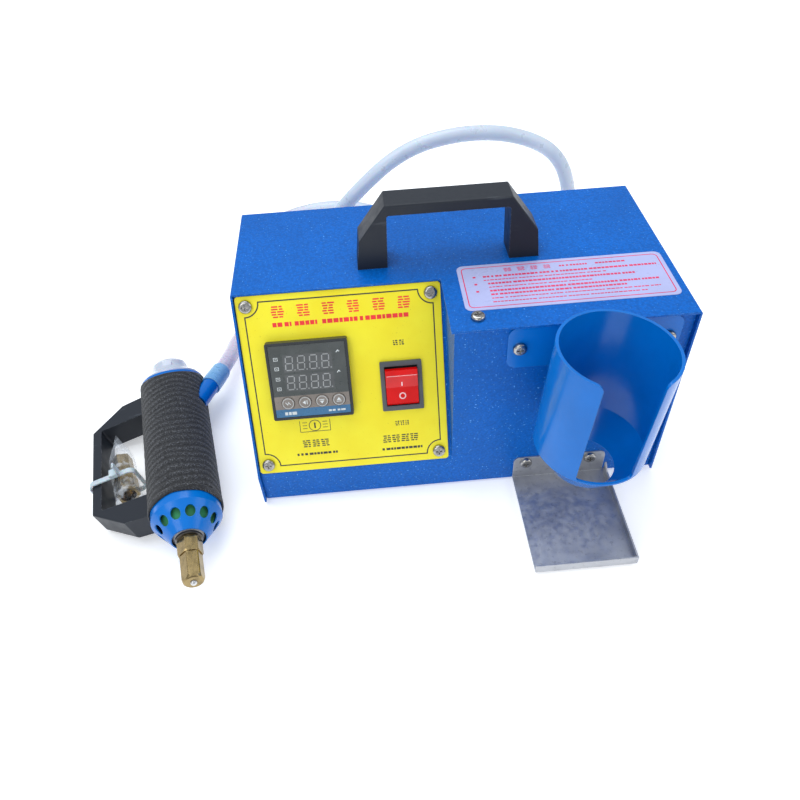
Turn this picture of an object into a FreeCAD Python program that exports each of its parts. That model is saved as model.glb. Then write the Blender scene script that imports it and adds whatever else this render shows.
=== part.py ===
"""Hot-melt glue applicator: a sheet-steel control box, a heated hand gun and the hose between them.

The design frame has its origin at the front left bottom corner of the box, X to the right, Y to the
back and Z up, in millimetres. The finished model is shifted so that its origin is the middle of the
footprint, on the surface that it stands on. The hose is left out of that footprint.
"""
import FreeCAD, Part
import math
import os

Vector = FreeCAD.Vector
Rotation = FreeCAD.Rotation
Placement = FreeCAD.Placement

X_AXIS = Vector(1, 0, 0)
Y_AXIS = Vector(0, 1, 0)
Z_AXIS = Vector(0, 0, 1)

# ---------------------------------------------------------------- driving dimensions: control box
BOX_W = 254.0            # left to right
BOX_D = 132.0            # front to back
BOX_H = 130.0            # bottom to top, without the feet
SHEET = 1.2              # steel sheet
FIT = 0.2                # gap between the cover and the chassis
SPLIT_X = 122.0          # the sloped panel ends here and the upright front starts
SLOPE_SETBACK = 48.0     # how far the slope leans back at the top
SLOPE_FOOT_Z = 24.0      # the slope starts at this height
LIP = 3.0                # the cover stands proud of the front by this much
FOOT_H = 2.0
FOOT_R = 6.0
FLOOR_Z = -FOOT_H

SLOPE_RISE = BOX_H - SLOPE_FOOT_Z
SLOPE_LEN = math.hypot(SLOPE_SETBACK, SLOPE_RISE)
SLOPE_ANGLE = math.degrees(math.atan2(SLOPE_RISE, SLOPE_SETBACK))

# ---------------------------------------------------------------- sloped panel, in its own plane:
# u to the right, t up the slope from its foot, w outwards
PLATE_T = 1.0
PLATE_U = (1.8, 119.8)
PLATE_V = (1.2, 113.6)
PLATE_SCREW_U = (7.6, 113.9)
PLATE_SCREW_V = (7.2, 107.6)
CTRL_U, CTRL_V = 39.6, 61.9          # controller centre
CTRL_BEZEL = 48.0
CTRL_BODY = 44.6
CTRL_FRONT_T = 5.0
CTRL_DEPTH = 74.0
KEY_R = 3.8
KEY_PITCH = 10.1
KEY_U0 = CTRL_U - 14.4
KEY_V = CTRL_V + CTRL_BEZEL / 2 - 37.4
KEY_NAMES = ("set", "shift", "down", "up")
KEY_TRAVEL = 0.5
SWITCH_U, SWITCH_V = 93.7, 52.5      # switch centre
SWITCH_BEZEL = (25.0, 31.2)
SWITCH_HOLE = (22.0, 28.2)
SWITCH_OPENING = (19.8, 25.2)
ROCKER_W = 19.2
ROCKER_PIVOT_W = 0.8
ROCKER_TILT = 10.0

# ---------------------------------------------------------------- carry handle and gun handle
HANDLE_X = 126.5
HANDLE_Y = 68.8
HANDLE_HALF = 53.2
HANDLE_H = 40.0
HANDLE_WIDE = 17.6
HANDLE_HOLES = 90.0

# ---------------------------------------------------------------- screws
M4_R = 2.0
M4_CLEAR = 2.15
PAN_HEAD_R = 3.9
PAN_HEAD_H = 2.5

# ---------------------------------------------------------------- gun holder and drip tray
CUP_X = 196.6
CUP_R = 31.2
CUP_WALL = 1.6
BRACKET_T = 1.5
CUP_GAP = 1.8            # a pad holds the cup clear of the cover's lip
CUP_Y = -BRACKET_T - CUP_GAP - CUP_R
CUP_TOP = 138.0
CUP_CONE_Z = 70.0
CUP_BOTTOM = 53.0
CUP_HOLE_R = 17.6
CUP_SLOT_HALF = 15.2
CUP_SLOT_CORNER = 3.0
CUP_TILT = 4.0           # the cup is welded on a little askew
BRACKET_X = 198.5
EAR_Z = (99.6, 128.0)
EAR_X = (151.0, 246.0)
EAR_SCREW_DX = 40.9
EAR_SCREW_Z = 113.9
TRAY_X = (162.0, 222.5)
TRAY_Y = -72.0
TRAY_LIP = 6.5
TRAY_FLANGE_TOP = 19.5
TRAY_SCREWS = (169.5, 210.9)
TRAY_SCREW_Z = 15.4

# ---------------------------------------------------------------- back panel
INLET_X, INLET_Z = 58.0, 34.0
GLAND_X, GLAND_Z = 240.0, 13.0
HOSE_R = 5.75
GLAND_LEN = 20.0

# ---------------------------------------------------------------- gun: x along its axis towards the
# nozzle, y away from the handle, z across the handle
GUN_AT = (-52.1, 20.0)
GUN_HEADING = 12.1
GUN_ROLL = 11.5
SLEEVE_R = 22.0
HOUSING_R = 21.0
HOUSING_IN = 20.0
HOUSING_BACK = -80.0
CONE_START = 47.5
CONE_END = 62.0
CONE_R = 10.5
REAR_SLANT = 30.0        # the filling end is cut at a slant and faces up and back
SLEEVE_SPAN = (-77.0, 42.0)
VENT_X = 53.5
VENT_R = 3.0
VENT_COUNT = 12
BARREL_R = 11.0
BARREL_BORE = 9.0
NECK_R = 8.5
HEATER_R = 13.4
INSULATION_R = 16.6
NUT_AF = 12.8
TIP_AF = 11.6
NUT_SPAN = (63.0, 74.0)
TIP_END = 92.0
VALVE_TRAVEL = 1.2
GUN_HANDLE_X = -12.0
GUN_HANDLE_BASE = 18.5
GUN_HANDLE_H = 37.5
STUB_START = (-46.0, 17.0, 1.5)
STUB_DIR = Vector(-0.87, 0.42, -0.25).normalize()
STUB_R = 6.2
STUB_LEN = 33.5
CUFF_SPAN = (21.0, 41.0)
CAP_THREAD_PITCH = 1.5

# ---------------------------------------------------------------- hose route in the design frame: out
# of the gland, up and over in an arch, down on the left, once round on the floor and on to the gun
HOSE_FLOOR = FLOOR_Z + HOSE_R + 0.2
HOSE_AIR = [
    (240, 184, 13), (245, 222, 30), (253, 240, 63), (240, 246, 98), (204, 241, 119), (160, 234, 127),
    (114, 226, 121), (75, 218, 93), (44, 216, 58), (8, 232, 30), (-20, 264, 12),
]
HOSE_LAID = [
    (-24, 306), (2, 343), (46, 357), (90, 343), (116, 306), (116, 260), (90, 223), (48, 209),
    (16, 204), (-11, 188), (-29, 161),
]


# ================================================================ helpers
def box(x, y, z):
    """A box between two limits on each axis."""
    return Part.makeBox(x[1] - x[0], y[1] - y[0], z[1] - z[0], Vector(x[0], y[0], z[0]))


def rod(radius, start, end):
    """A cylinder from one point to another."""
    a, b = Vector(*start), Vector(*end)
    return Part.makeCylinder(radius, (b - a).Length, a, b - a)


def pipe(outer, inner, start, end):
    return rod(outer, start, end).cut(rod(inner, start, end))


def x_rod(radius, x0, x1):
    return rod(radius, (x0, 0, 0), (x1, 0, 0))


def x_pipe(outer, inner, x0, x1):
    return pipe(outer, inner, (x0, 0, 0), (x1, 0, 0))


def prism(points, direction):
    """A straight prism on a closed outline of points."""
    corners = [Vector(*p) for p in points]
    face = Part.Face(Part.makePolygon(corners + [corners[0]]))
    return face.extrude(direction)


def turned(profile):
    """A solid of revolution about X, from an outline of (x, radius) points."""
    corners = [Vector(x, r, 0) for x, r in profile]
    face = Part.Face(Part.makePolygon(corners + [corners[0]]))
    return face.revolve(Vector(0, 0, 0), X_AXIS, 360)


def rounded_plate(x, y, z, radius):
    """A flat plate, with its four upright edges rounded."""
    plate = box(x, y, z)
    upright = [e for e in plate.Edges if abs(e.tangentAt(e.FirstParameter).z) > 0.9]
    return plate.makeFillet(radius, upright)


def hexagon(across_flats, x0, x1):
    """A hexagonal bar along X."""
    corner = across_flats / math.sqrt(3)
    turns = [math.radians(60 * i + 30) for i in range(6)]
    outline = [(x0, corner * math.cos(a), corner * math.sin(a)) for a in turns]
    return prism(outline, Vector(x1 - x0, 0, 0))


def pan_screw(at, out, shank, recess=True):
    """A pan-head screw with a cross recess: its head stands out from a point, and its shank goes in."""
    head = Part.makeCylinder(PAN_HEAD_R, PAN_HEAD_H)
    rim = [e for e in head.Edges if e.BoundBox.ZMin > PAN_HEAD_H - 0.01 and e.Closed]
    screw = head.makeFillet(PAN_HEAD_H * 0.6, rim[:1])
    screw = screw.fuse(rod(M4_R, (0, 0, -shank), (0, 0, 0.5)))
    if recess:
        for long, wide in ((3.9, 0.9), (0.9, 3.9)):
            screw = screw.cut(box((-long / 2, long / 2), (-wide / 2, wide / 2),
                                  (PAN_HEAD_H - 1.3, PAN_HEAD_H + 1)))
    screw.Placement = Placement(Vector(*at), Rotation(Z_AXIS, Vector(*out)))
    return screw


def group(shapes):
    """Several separate solids kept in one node."""
    return Part.makeCompound([s for shape in shapes for s in shape.Solids])


SLOPE = Placement(Vector(0, 0, SLOPE_FOOT_Z), Rotation(X_AXIS, SLOPE_ANGLE))


def on_slope(shape):
    """Moves a shape that is drawn flat, as (u, t, w), on to the sloped panel."""
    moved = shape.copy()
    moved.Placement = SLOPE.multiply(shape.Placement)
    return moved


GUN_AXIS_Z = FLOOR_Z + SLEEVE_R
_heading = math.radians(GUN_HEADING)
_forward = Vector(math.sin(_heading), -math.cos(_heading), 0)
_right = Vector(math.cos(_heading), math.sin(_heading), 0)
_roll = math.radians(GUN_ROLL)
_outward = _right * math.cos(_roll) + Z_AXIS * math.sin(_roll)
GUN = Placement(
    Vector(GUN_AT[0], GUN_AT[1], GUN_AXIS_Z),
    Rotation(_forward, _outward, _forward.cross(_outward), "XYZ"),
)


def on_gun(shape):
    """Moves a shape that is drawn in the gun's frame to where the gun lies."""
    moved = shape.copy()
    moved.Placement = GUN.multiply(shape.Placement)
    return moved


def on_filling_end(shape):
    """Turns a shape, drawn straight on the gun's axis, on to the slanted filling end."""
    upwards = Vector(0, math.sin(_roll), math.cos(_roll))
    turned_up = shape.copy()
    turned_up.rotate(Vector(HOUSING_BACK, 0, 0), upwards.cross(X_AXIS), REAR_SLANT)
    return turned_up


# ================================================================ control box
def plate_holes(z0, z1):
    """The cutouts that the chassis's slope and the yellow plate share."""
    half = CTRL_BODY / 2 + 0.2
    holes = [box((CTRL_U - half, CTRL_U + half), (CTRL_V - half, CTRL_V + half), (z0, z1))]
    half_u, half_v = SWITCH_HOLE[0] / 2, SWITCH_HOLE[1] / 2
    holes.append(box((SWITCH_U - half_u, SWITCH_U + half_u),
                     (SWITCH_V - half_v, SWITCH_V + half_v), (z0, z1)))
    for u in PLATE_SCREW_U:
        for v in PLATE_SCREW_V:
            holes.append(rod(M4_CLEAR, (u, v, z0), (u, v, z1)))
    return group(holes)


def front_holes():
    """Screw holes in the upright front, for the gun holder and the tray."""
    places = [(BRACKET_X + side * EAR_SCREW_DX, EAR_SCREW_Z) for side in (-1, 1)]
    places += [(x, TRAY_SCREW_Z) for x in TRAY_SCREWS]
    return [rod(M4_R + 0.05, (x, -5, z), (x, 5, z)) for x, z in places]


COVER_SCREW_YZ = [(34.0, 8.0), (112.0, 8.0)]
TOP_SCREW = (135.6, 7.5)
SSR_AT = (200.0, 88.0)
SSR_HOLES = 47.6
TERMINAL_AT = (108.0, 116.0)
INLET_HOLES = 40.0


def make_chassis():
    """Floor, back, fronts and the small side wall beside the slope, folded from one sheet."""
    x0, x1 = SHEET + FIT, BOX_W - SHEET - FIT
    top = BOX_H - SHEET - FIT
    body = box((x0, x1), (0, BOX_D), (0, SHEET))
    body = body.fuse(box((x0, x1), (BOX_D - SHEET, BOX_D), (0, top)))
    body = body.fuse(box((SPLIT_X, x1), (0, SHEET), (0, top)))
    body = body.fuse(box((x0, SPLIT_X), (0, SHEET), (0, SLOPE_FOOT_Z)))
    panel = on_slope(box((x0, SPLIT_X + SHEET), (-0.5, SLOPE_LEN), (-SHEET, 0)))
    body = body.fuse(panel.common(box((0, BOX_W), (0, BOX_D), (0, top))))
    wall = prism([(SPLIT_X, 0, SLOPE_FOOT_Z), (SPLIT_X, SLOPE_SETBACK, BOX_H), (SPLIT_X, 0, BOX_H)],
                 Vector(SHEET, 0, 0))
    body = body.fuse(wall.common(box((0, BOX_W), (0, BOX_D), (0, top))))
    for side in ((x0, x0 + SHEET), (x1 - SHEET, x1)):
        body = body.fuse(box(side, (SHEET, BOX_D - SHEET), (SHEET, 15)))
    body = body.fuse(box((SPLIT_X + SHEET, x1), (SHEET, 14), (top - SHEET, top)))
    body = body.cut(on_slope(plate_holes(-5, 5)))
    for hole in front_holes():
        body = body.cut(hole)
    for y, z in COVER_SCREW_YZ:
        body = body.cut(rod(M4_R + 0.05, (0, y, z), (BOX_W, y, z)))
    body = body.cut(rod(M4_R + 0.05, TOP_SCREW + (top - 3,), TOP_SCREW + (top + 3,)))
    body = body.cut(box((INLET_X - 14, INLET_X + 14), (BOX_D - 5, BOX_D + 5), (INLET_Z - 10.2, INLET_Z + 10.2)))
    for side in (-1, 1):
        x = INLET_X + side * INLET_HOLES / 2
        body = body.cut(rod(1.55, (x, BOX_D - 5, INLET_Z), (x, BOX_D + 5, INLET_Z)))
        body = body.cut(rod(M4_R + 0.05, (SSR_AT[0] + side * SSR_HOLES / 2, SSR_AT[1], -1),
                            (SSR_AT[0] + side * SSR_HOLES / 2, SSR_AT[1], 4)))
        body = body.cut(rod(1.55, (TERMINAL_AT[0] + side * 24, TERMINAL_AT[1], -1),
                            (TERMINAL_AT[0] + side * 24, TERMINAL_AT[1], 4)))
    body = body.cut(rod(8.1, (GLAND_X, BOX_D - 5, GLAND_Z), (GLAND_X, BOX_D + 5, GLAND_Z)))
    return body.removeSplitter()


def make_cover():
    """Top and both sides, folded like an upside-down U, with a notch in front over the slope."""
    back = BOX_D
    right = [(0, -LIP, 0), (0, back, 0), (0, back, BOX_H), (0, -LIP, BOX_H)]
    left = [(0, -LIP, 0), (0, back, 0), (0, back, BOX_H), (0, SLOPE_SETBACK - LIP, BOX_H),
            (0, -LIP, SLOPE_FOOT_Z)]
    top = [(0, SLOPE_SETBACK - LIP, BOX_H), (0, back, BOX_H), (BOX_W, back, BOX_H),
           (BOX_W, -LIP, BOX_H), (SPLIT_X - 2, -LIP, BOX_H), (SPLIT_X - 2, SLOPE_SETBACK - LIP, BOX_H)]
    cover = prism(left, Vector(SHEET, 0, 0))
    side = prism(right, Vector(SHEET, 0, 0))
    side.translate(Vector(BOX_W - SHEET, 0, 0))
    cover = cover.fuse(side).fuse(prism(top, Vector(0, 0, -SHEET))).removeSplitter()
    folds = [e for e in cover.Edges
             if e.BoundBox.ZMin > BOX_H - 0.01 and e.BoundBox.YLength > 50
             and (e.BoundBox.XMax < 0.01 or e.BoundBox.XMin > BOX_W - 0.01)]
    cover = cover.makeFillet(1.0, folds)
    for side in (-1, 1):
        x = HANDLE_X + side * HANDLE_HOLES / 2
        cover = cover.cut(rod(M4_CLEAR, (x, HANDLE_Y, BOX_H - 5), (x, HANDLE_Y, BOX_H + 5)))
    cover = cover.cut(rod(M4_CLEAR, TOP_SCREW + (BOX_H - 5,), TOP_SCREW + (BOX_H + 5,)))
    for y, z in COVER_SCREW_YZ:
        cover = cover.cut(rod(M4_CLEAR, (-1, y, z), (BOX_W + 1, y, z)))
    return cover


def make_cover_screws():
    screws = [pan_screw(TOP_SCREW + (BOX_H,), (0, 0, 1), 6)]
    for y, z in COVER_SCREW_YZ:
        screws.append(pan_screw((0, y, z), (-1, 0, 0), 6))
        screws.append(pan_screw((BOX_W, y, z), (1, 0, 0), 6))
    return group(screws)


def make_feet():
    places = [(x, y) for x in (14, BOX_W - 14) for y in (14, BOX_D - 14)]
    return group([rod(FOOT_R, (x, y, FLOOR_Z), (x, y, 0)) for x, y in places])


def bail(half, height, wide):
    """A flat-topped pull handle that stands on the XY plane and runs along X."""
    outer = [(-half, 0), (-half + 1.9, height * 0.45), (-half + 17.7, height), (half - 17.7, height),
             (half - 1.9, height * 0.45), (half, 0)]
    inner = [(-half + 17.4, -1), (-half + 18.5, height - 6.2), (half - 18.5, height - 6.2),
             (half - 17.4, -1)]
    solid = prism([(x, -wide / 2, z) for x, z in outer], Vector(0, wide, 0))
    solid = solid.makeFillet(1.0, [e for e in solid.Edges if e.BoundBox.ZMin > 1])
    opening = prism([(x, -wide, z) for x, z in inner], Vector(0, 2 * wide, 0))
    corners = [e for e in opening.Edges if e.BoundBox.ZMin > height / 2 and e.BoundBox.YLength > wide]
    solid = solid.cut(opening.makeFillet(1.5, corners))
    for side in (-1, 1):
        x = side * HANDLE_HOLES / 2
        solid = solid.cut(rod(M4_R + 0.05, (x, 0, -1), (x, 0, 14)))
    return solid


def make_carry_handle():
    handle = bail(HANDLE_HALF, HANDLE_H, HANDLE_WIDE)
    handle.translate(Vector(HANDLE_X, HANDLE_Y, BOX_H))
    return handle


def make_carry_handle_screws():
    under = BOX_H - SHEET
    return group([pan_screw((HANDLE_X + side * HANDLE_HOLES / 2, HANDLE_Y, under), (0, 0, -1), 12)
                  for side in (-1, 1)])


def make_label():
    return rounded_plate((130.0, 249.4), (13.4, 55.0), (BOX_H, BOX_H + 0.25), 4.0)


# ================================================================ sloped panel
def make_plate():
    plate = rounded_plate(PLATE_U, PLATE_V, (0, PLATE_T), 2.0)
    return on_slope(plate.cut(plate_holes(-1, PLATE_T + 1)))


def make_plate_screws():
    return on_slope(group([pan_screw((u, v, PLATE_T), (0, 0, 1), 5)
                           for u in PLATE_SCREW_U for v in PLATE_SCREW_V]))


def around(u, v, half_u, half_v, w0, w1):
    return box((u - half_u, u + half_u), (v - half_v, v + half_v), (w0, w1))


DISPLAY_HALF = (14.5, 11.5)
DISPLAY_V = CTRL_V + 5.0


def make_controller_case():
    """Bezel and housing of the temperature controller, moulded in one piece and open at the back."""
    half, body = CTRL_BEZEL / 2, CTRL_BODY / 2
    front = PLATE_T + CTRL_FRONT_T
    case = rounded_plate((CTRL_U - half, CTRL_U + half), (CTRL_V - half, CTRL_V + half),
                         (PLATE_T, front), 1.2)
    case = case.fuse(around(CTRL_U, CTRL_V, body, body, -CTRL_DEPTH, PLATE_T))
    case = case.cut(around(CTRL_U, CTRL_V, body - 1.5, body - 1.5, -CTRL_DEPTH - 1, PLATE_T - 0.6))
    case = case.cut(around(CTRL_U, CTRL_V, body + 0.2, body + 0.2, front - 1.0, front + 1))
    case = case.cut(around(CTRL_U, DISPLAY_V, DISPLAY_HALF[0] + 0.2, DISPLAY_HALF[1] + 0.2, -2, front))
    for i in range(len(KEY_NAMES)):
        u = KEY_U0 + i * KEY_PITCH
        case = case.cut(rod(KEY_R + 0.2, (u, KEY_V, front - 2.6), (u, KEY_V, front)))
    return on_slope(case)


def make_controller_face():
    """The printed front sheet, with a hole for each key."""
    front = PLATE_T + CTRL_FRONT_T
    half = CTRL_BODY / 2
    face = around(CTRL_U, CTRL_V, half, half, front - 1.0, front - 0.2)
    for i in range(len(KEY_NAMES)):
        u = KEY_U0 + i * KEY_PITCH
        face = face.cut(rod(KEY_R + 0.2, (u, KEY_V, 0), (u, KEY_V, front + 1)))
    return on_slope(face)


def make_key(index):
    u = KEY_U0 + index * KEY_PITCH
    front = PLATE_T + CTRL_FRONT_T
    key = rod(KEY_R, (u, KEY_V, front - 1.9), (u, KEY_V, front + 0.5))
    rim = [e for e in key.Edges if e.Closed and e.BoundBox.ZMin > front]
    return on_slope(key.makeFillet(0.3, rim[:1]))


def make_display():
    block = around(CTRL_U, DISPLAY_V, DISPLAY_HALF[0], DISPLAY_HALF[1], -3.0, PLATE_T + CTRL_FRONT_T - 1.1)
    return on_slope(block)


def make_controller_board():
    half = CTRL_BODY / 2 - 2.0
    board = around(CTRL_U, CTRL_V, half, half, -5.2, -3.6)
    main = box((CTRL_U - half, CTRL_U + half), (CTRL_V - 12, CTRL_V - 10.4), (-CTRL_DEPTH + 4, -5.2))
    return on_slope(board.fuse(main))


def make_controller_back():
    """The terminal block that closes the controller's housing."""
    half = CTRL_BODY / 2 - 1.6
    back = around(CTRL_U, CTRL_V, half, half, -CTRL_DEPTH - 3, -CTRL_DEPTH + 3.5)
    for side in (-1, 1):
        for i in range(6):
            u, v = CTRL_U + side * 14, CTRL_V - 15 + 6 * i
            back = back.cut(rod(1.6, (u, v, -CTRL_DEPTH - 4), (u, v, -CTRL_DEPTH - 1)))
    return on_slope(back)


def make_controller_clamp():
    ring = around(CTRL_U, CTRL_V, 26.0, 26.0, -11.0, -SHEET - 0.1)
    return on_slope(ring.cut(around(CTRL_U, CTRL_V, CTRL_BODY / 2 + 0.1, CTRL_BODY / 2 + 0.1, -12, 0)))


def make_switch_body():
    half_u, half_v = SWITCH_BEZEL[0] / 2, SWITCH_BEZEL[1] / 2
    top = PLATE_T + 1.8
    body = rounded_plate((SWITCH_U - half_u, SWITCH_U + half_u), (SWITCH_V - half_v, SWITCH_V + half_v),
                         (PLATE_T, top), 0.8)
    body = body.fuse(around(SWITCH_U, SWITCH_V, 10.9, 14.0, -17, PLATE_T))
    open_u, open_v = SWITCH_OPENING[0] / 2, SWITCH_OPENING[1] / 2
    body = body.cut(around(SWITCH_U, SWITCH_V, open_u, open_v, -8, top + 1))
    body = body.cut(rod(1.25, (SWITCH_U - open_u - 0.8, SWITCH_V, ROCKER_PIVOT_W),
                        (SWITCH_U + open_u + 0.8, SWITCH_V, ROCKER_PIVOT_W)))
    return on_slope(body)


def make_rocker():
    """The red rocker at OFF: its top end stands out and its bottom end is pressed in."""
    outline = [(-11.7, 3.4), (-9.4, 5.2), (0, 2.9), (9.4, 5.2), (11.7, 3.4), (11.2, -0.5), (5, -5.2),
               (-5, -5.2), (-11.2, -0.5)]
    rocker = prism([(-ROCKER_W / 2, v, w) for v, w in outline], Vector(ROCKER_W, 0, 0))
    pin = SWITCH_OPENING[0] / 2 + 0.6
    rocker = rocker.fuse(rod(1.2, (-pin, 0, 0), (pin, 0, 0)))
    rocker.rotate(Vector(0, 0, 0), X_AXIS, ROCKER_TILT)
    rocker.translate(Vector(SWITCH_U, SWITCH_V, ROCKER_PIVOT_W))
    return on_slope(rocker)


def make_switch_tabs():
    tabs = [box((SWITCH_U + du - 3.1, SWITCH_U + du + 3.1), (SWITCH_V + dv - 0.4, SWITCH_V + dv + 0.4),
                (-27, -17)) for du in (-5.2, 5.2) for dv in (-7, 7)]
    return on_slope(group(tabs))


# ================================================================ gun holder and drip tray
def askew(shape):
    """Tilts a shape sideways with the cup, about the middle of its bracket."""
    tilted = shape.copy()
    tilted.rotate(Vector(CUP_X, CUP_Y, EAR_SCREW_Z), Y_AXIS, CUP_TILT)
    return tilted


def make_cup_bracket():
    plate = rounded_plate(EAR_X, (-EAR_Z[1], -EAR_Z[0]), (0, BRACKET_T), 6.0)
    plate.rotate(Vector(0, 0, 0), X_AXIS, -90)
    plate.rotate(Vector(0, 0, 0), X_AXIS, 180)
    plate.translate(Vector(0, 0, EAR_Z[0] - plate.BoundBox.ZMin))
    plate.translate(Vector(0, -BRACKET_T - plate.BoundBox.YMin, 0))
    for side in (-1, 1):
        x = BRACKET_X + side * EAR_SCREW_DX
        plate = plate.cut(rod(M4_CLEAR, (x, -5, EAR_SCREW_Z), (x, 5, EAR_SCREW_Z)))
    pad = box((CUP_X - 11, CUP_X + 11), (-BRACKET_T - CUP_GAP - 2, -BRACKET_T), EAR_Z)
    round_cup = Part.makeCylinder(CUP_R + 0.04, 60, Vector(CUP_X, CUP_Y, EAR_Z[0] - 15))
    return plate.fuse(pad.cut(askew(round_cup)))


def make_cup():
    """A rolled cup, open at the top and at the front, that tapers to a wide hole at the bottom."""
    def shell(radius, bottom_radius, low, high):
        straight = Part.makeCylinder(radius, high - CUP_CONE_Z, Vector(CUP_X, CUP_Y, CUP_CONE_Z))
        cone = Part.makeCone(bottom_radius, radius, CUP_CONE_Z - low, Vector(CUP_X, CUP_Y, low))
        return straight.fuse(cone)
    cup = shell(CUP_R, CUP_HOLE_R + CUP_WALL, CUP_BOTTOM, CUP_TOP)
    cup = cup.cut(shell(CUP_R - CUP_WALL, CUP_HOLE_R, CUP_BOTTOM, CUP_TOP))
    half, corner = CUP_SLOT_HALF, CUP_SLOT_CORNER
    slot = rounded_plate((CUP_X - half, CUP_X + half), (CUP_CONE_Z + 1, CUP_TOP + 20), (0, CUP_R + 2), 2.0)
    slot.rotate(Vector(0, 0, 0), X_AXIS, 90)
    slot.translate(Vector(0, CUP_Y, 0))
    cup = cup.cut(slot)
    front = CUP_Y - CUP_R - 2
    for side in (-1, 1):
        edge = CUP_X + side * half
        centre = edge + side * corner
        square = box((min(edge, centre), max(edge, centre)), (front, CUP_Y), (CUP_TOP - corner, CUP_TOP + 1))
        rounding = rod(corner, (centre, front - 1, CUP_TOP - corner), (centre, CUP_Y + 1, CUP_TOP - corner))
        cup = cup.cut(square.cut(rounding))
    return askew(cup)


def make_cup_screws():
    return group([pan_screw((BRACKET_X + side * EAR_SCREW_DX, -BRACKET_T, EAR_SCREW_Z), (0, -1, 0), 6)
                  for side in (-1, 1)])


TRAY_T = 1.0


def make_tray():
    """A folded sheet: an upright flange on the box, the floor, and a lip in front and on the right."""
    x0, x1 = TRAY_X
    flange = rounded_plate((x0, x1 - 1.5), (-TRAY_FLANGE_TOP, TRAY_FLANGE_TOP), (0, TRAY_T), 4.0)
    flange.rotate(Vector(0, 0, 0), X_AXIS, 90)
    tray = flange.common(box((x0, x1), (-5, 5), (0.2, 30)))
    tray = tray.fuse(box((x0, x1), (TRAY_Y, 0), (0.2, 0.2 + TRAY_T)))
    tray = tray.fuse(box((x0, x1), (TRAY_Y, TRAY_Y + TRAY_T), (0.2, TRAY_LIP)))
    side = [(x1 - TRAY_T, TRAY_Y, 0.2), (x1 - TRAY_T, -2.5, 0.2), (x1 - TRAY_T, -2.5, 10.0),
            (x1 - TRAY_T, -8.0, TRAY_LIP), (x1 - TRAY_T, TRAY_Y, TRAY_LIP)]
    tray = tray.fuse(prism(side, Vector(TRAY_T, 0, 0)))
    for x in TRAY_SCREWS:
        tray = tray.cut(rod(M4_CLEAR, (x, -5, TRAY_SCREW_Z), (x, 5, TRAY_SCREW_Z)))
    return tray.removeSplitter()


def make_tray_screws():
    return group([pan_screw((x, -TRAY_T, TRAY_SCREW_Z), (0, -1, 0), 6) for x in TRAY_SCREWS])


# ================================================================ back panel and inside
def make_inlet():
    """A three-pin appliance inlet with a two-hole flange."""
    flange = rounded_plate((-25, 25), (-11.5, 11.5), (0, 3.0), 6.0)
    inlet = flange.fuse(box((-13.6, 13.6), (-9.9, 9.9), (-17, 0)))
    socket = box((-12.2, 12.2), (-8.2, 8.2), (-14.5, 5))
    inlet = inlet.cut(socket)
    for x, y in ((-7, -2), (0, 2), (7, -2)):
        inlet = inlet.fuse(box((x - 1, x + 1), (y - 2, y + 2), (-15, 0)))
    for side in (-1, 1):
        inlet = inlet.cut(rod(1.6, (side * INLET_HOLES / 2, 0, -5), (side * INLET_HOLES / 2, 0, 5)))
    inlet.Placement = Placement(Vector(INLET_X, BOX_D, INLET_Z), Rotation(Z_AXIS, Y_AXIS))
    return inlet


def inlet_axis_places():
    return [(INLET_X + side * INLET_HOLES / 2, BOX_D + 3.0, INLET_Z) for side in (-1, 1)]


def make_inlet_screws():
    screws = []
    for x, y, z in inlet_axis_places():
        head = Part.makeCone(2.8, 1.6, 1.6, Vector(x, y + 1.6, z), Vector(0, -1, 0))
        screws.append(head.fuse(rod(1.5, (x, y - 8, z), (x, y + 0.5, z))))
    return group(screws)


def make_gland():
    """The hose's strain relief: a threaded neck through the back panel, a hexagon and a tapered boot."""
    back = BOX_D + GLAND_LEN
    gland = rod(8.0, (0, -8, 0), (0, 0, 0))
    gland = gland.fuse(hexagon(21.0, 0, 5).rotate(Vector(0, 0, 0), Z_AXIS, 90))
    gland = gland.fuse(Part.makeCone(9.6, 7.2, GLAND_LEN - 5, Vector(0, 5, 0), Y_AXIS))
    gland = gland.cut(rod(4.2, (0, -9, 0), (0, back, 0)))
    gland.translate(Vector(GLAND_X, BOX_D, GLAND_Z))
    return gland


def make_gland_nut():
    nut = hexagon(20.0, 0, 4).rotate(Vector(0, 0, 0), Z_AXIS, 90)
    nut = nut.cut(rod(8.05, (0, -1, 0), (0, 5, 0)))
    nut.translate(Vector(GLAND_X, BOX_D - SHEET - 4, GLAND_Z))
    return nut


def make_relay():
    """The solid-state relay that switches the gun's heater."""
    x, y = SSR_AT
    block = rounded_plate((x - 29, x + 29), (y - 22, y + 22), (SHEET, SHEET + 23), 2.0)
    for side in (-1, 1):
        hole_x = x + side * SSR_HOLES / 2
        block = block.cut(rod(M4_CLEAR, (hole_x, y, 0), (hole_x, y, 40)))
        block = block.cut(box((hole_x - 6, hole_x + 6), (y - 6, y + 6), (8, 40)))
    return block


def make_relay_screws():
    return group([pan_screw((SSR_AT[0] + side * SSR_HOLES / 2, SSR_AT[1], 8), (0, 0, 1), 9)
                  for side in (-1, 1)])


def make_terminals():
    """A row of screw terminals that joins the mains, the relay and the hose's wires."""
    x, y = TERMINAL_AT
    strip = box((x - 30, x + 30), (y - 8, y + 8), (SHEET, SHEET + 6))
    for i in range(5):
        centre = x - 18 + 9 * i
        strip = strip.fuse(box((centre - 3.4, centre + 3.4), (y - 6, y + 6), (SHEET + 6, SHEET + 14)))
    for side in (-1, 1):
        strip = strip.cut(rod(1.6, (x + side * 24, y, 0), (x + side * 24, y, 10)))
    return strip


# ================================================================ gun, in its own frame
def stub_point(distance):
    """A point along the gun's side stub."""
    return Vector(*STUB_START) + STUB_DIR * distance


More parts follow.
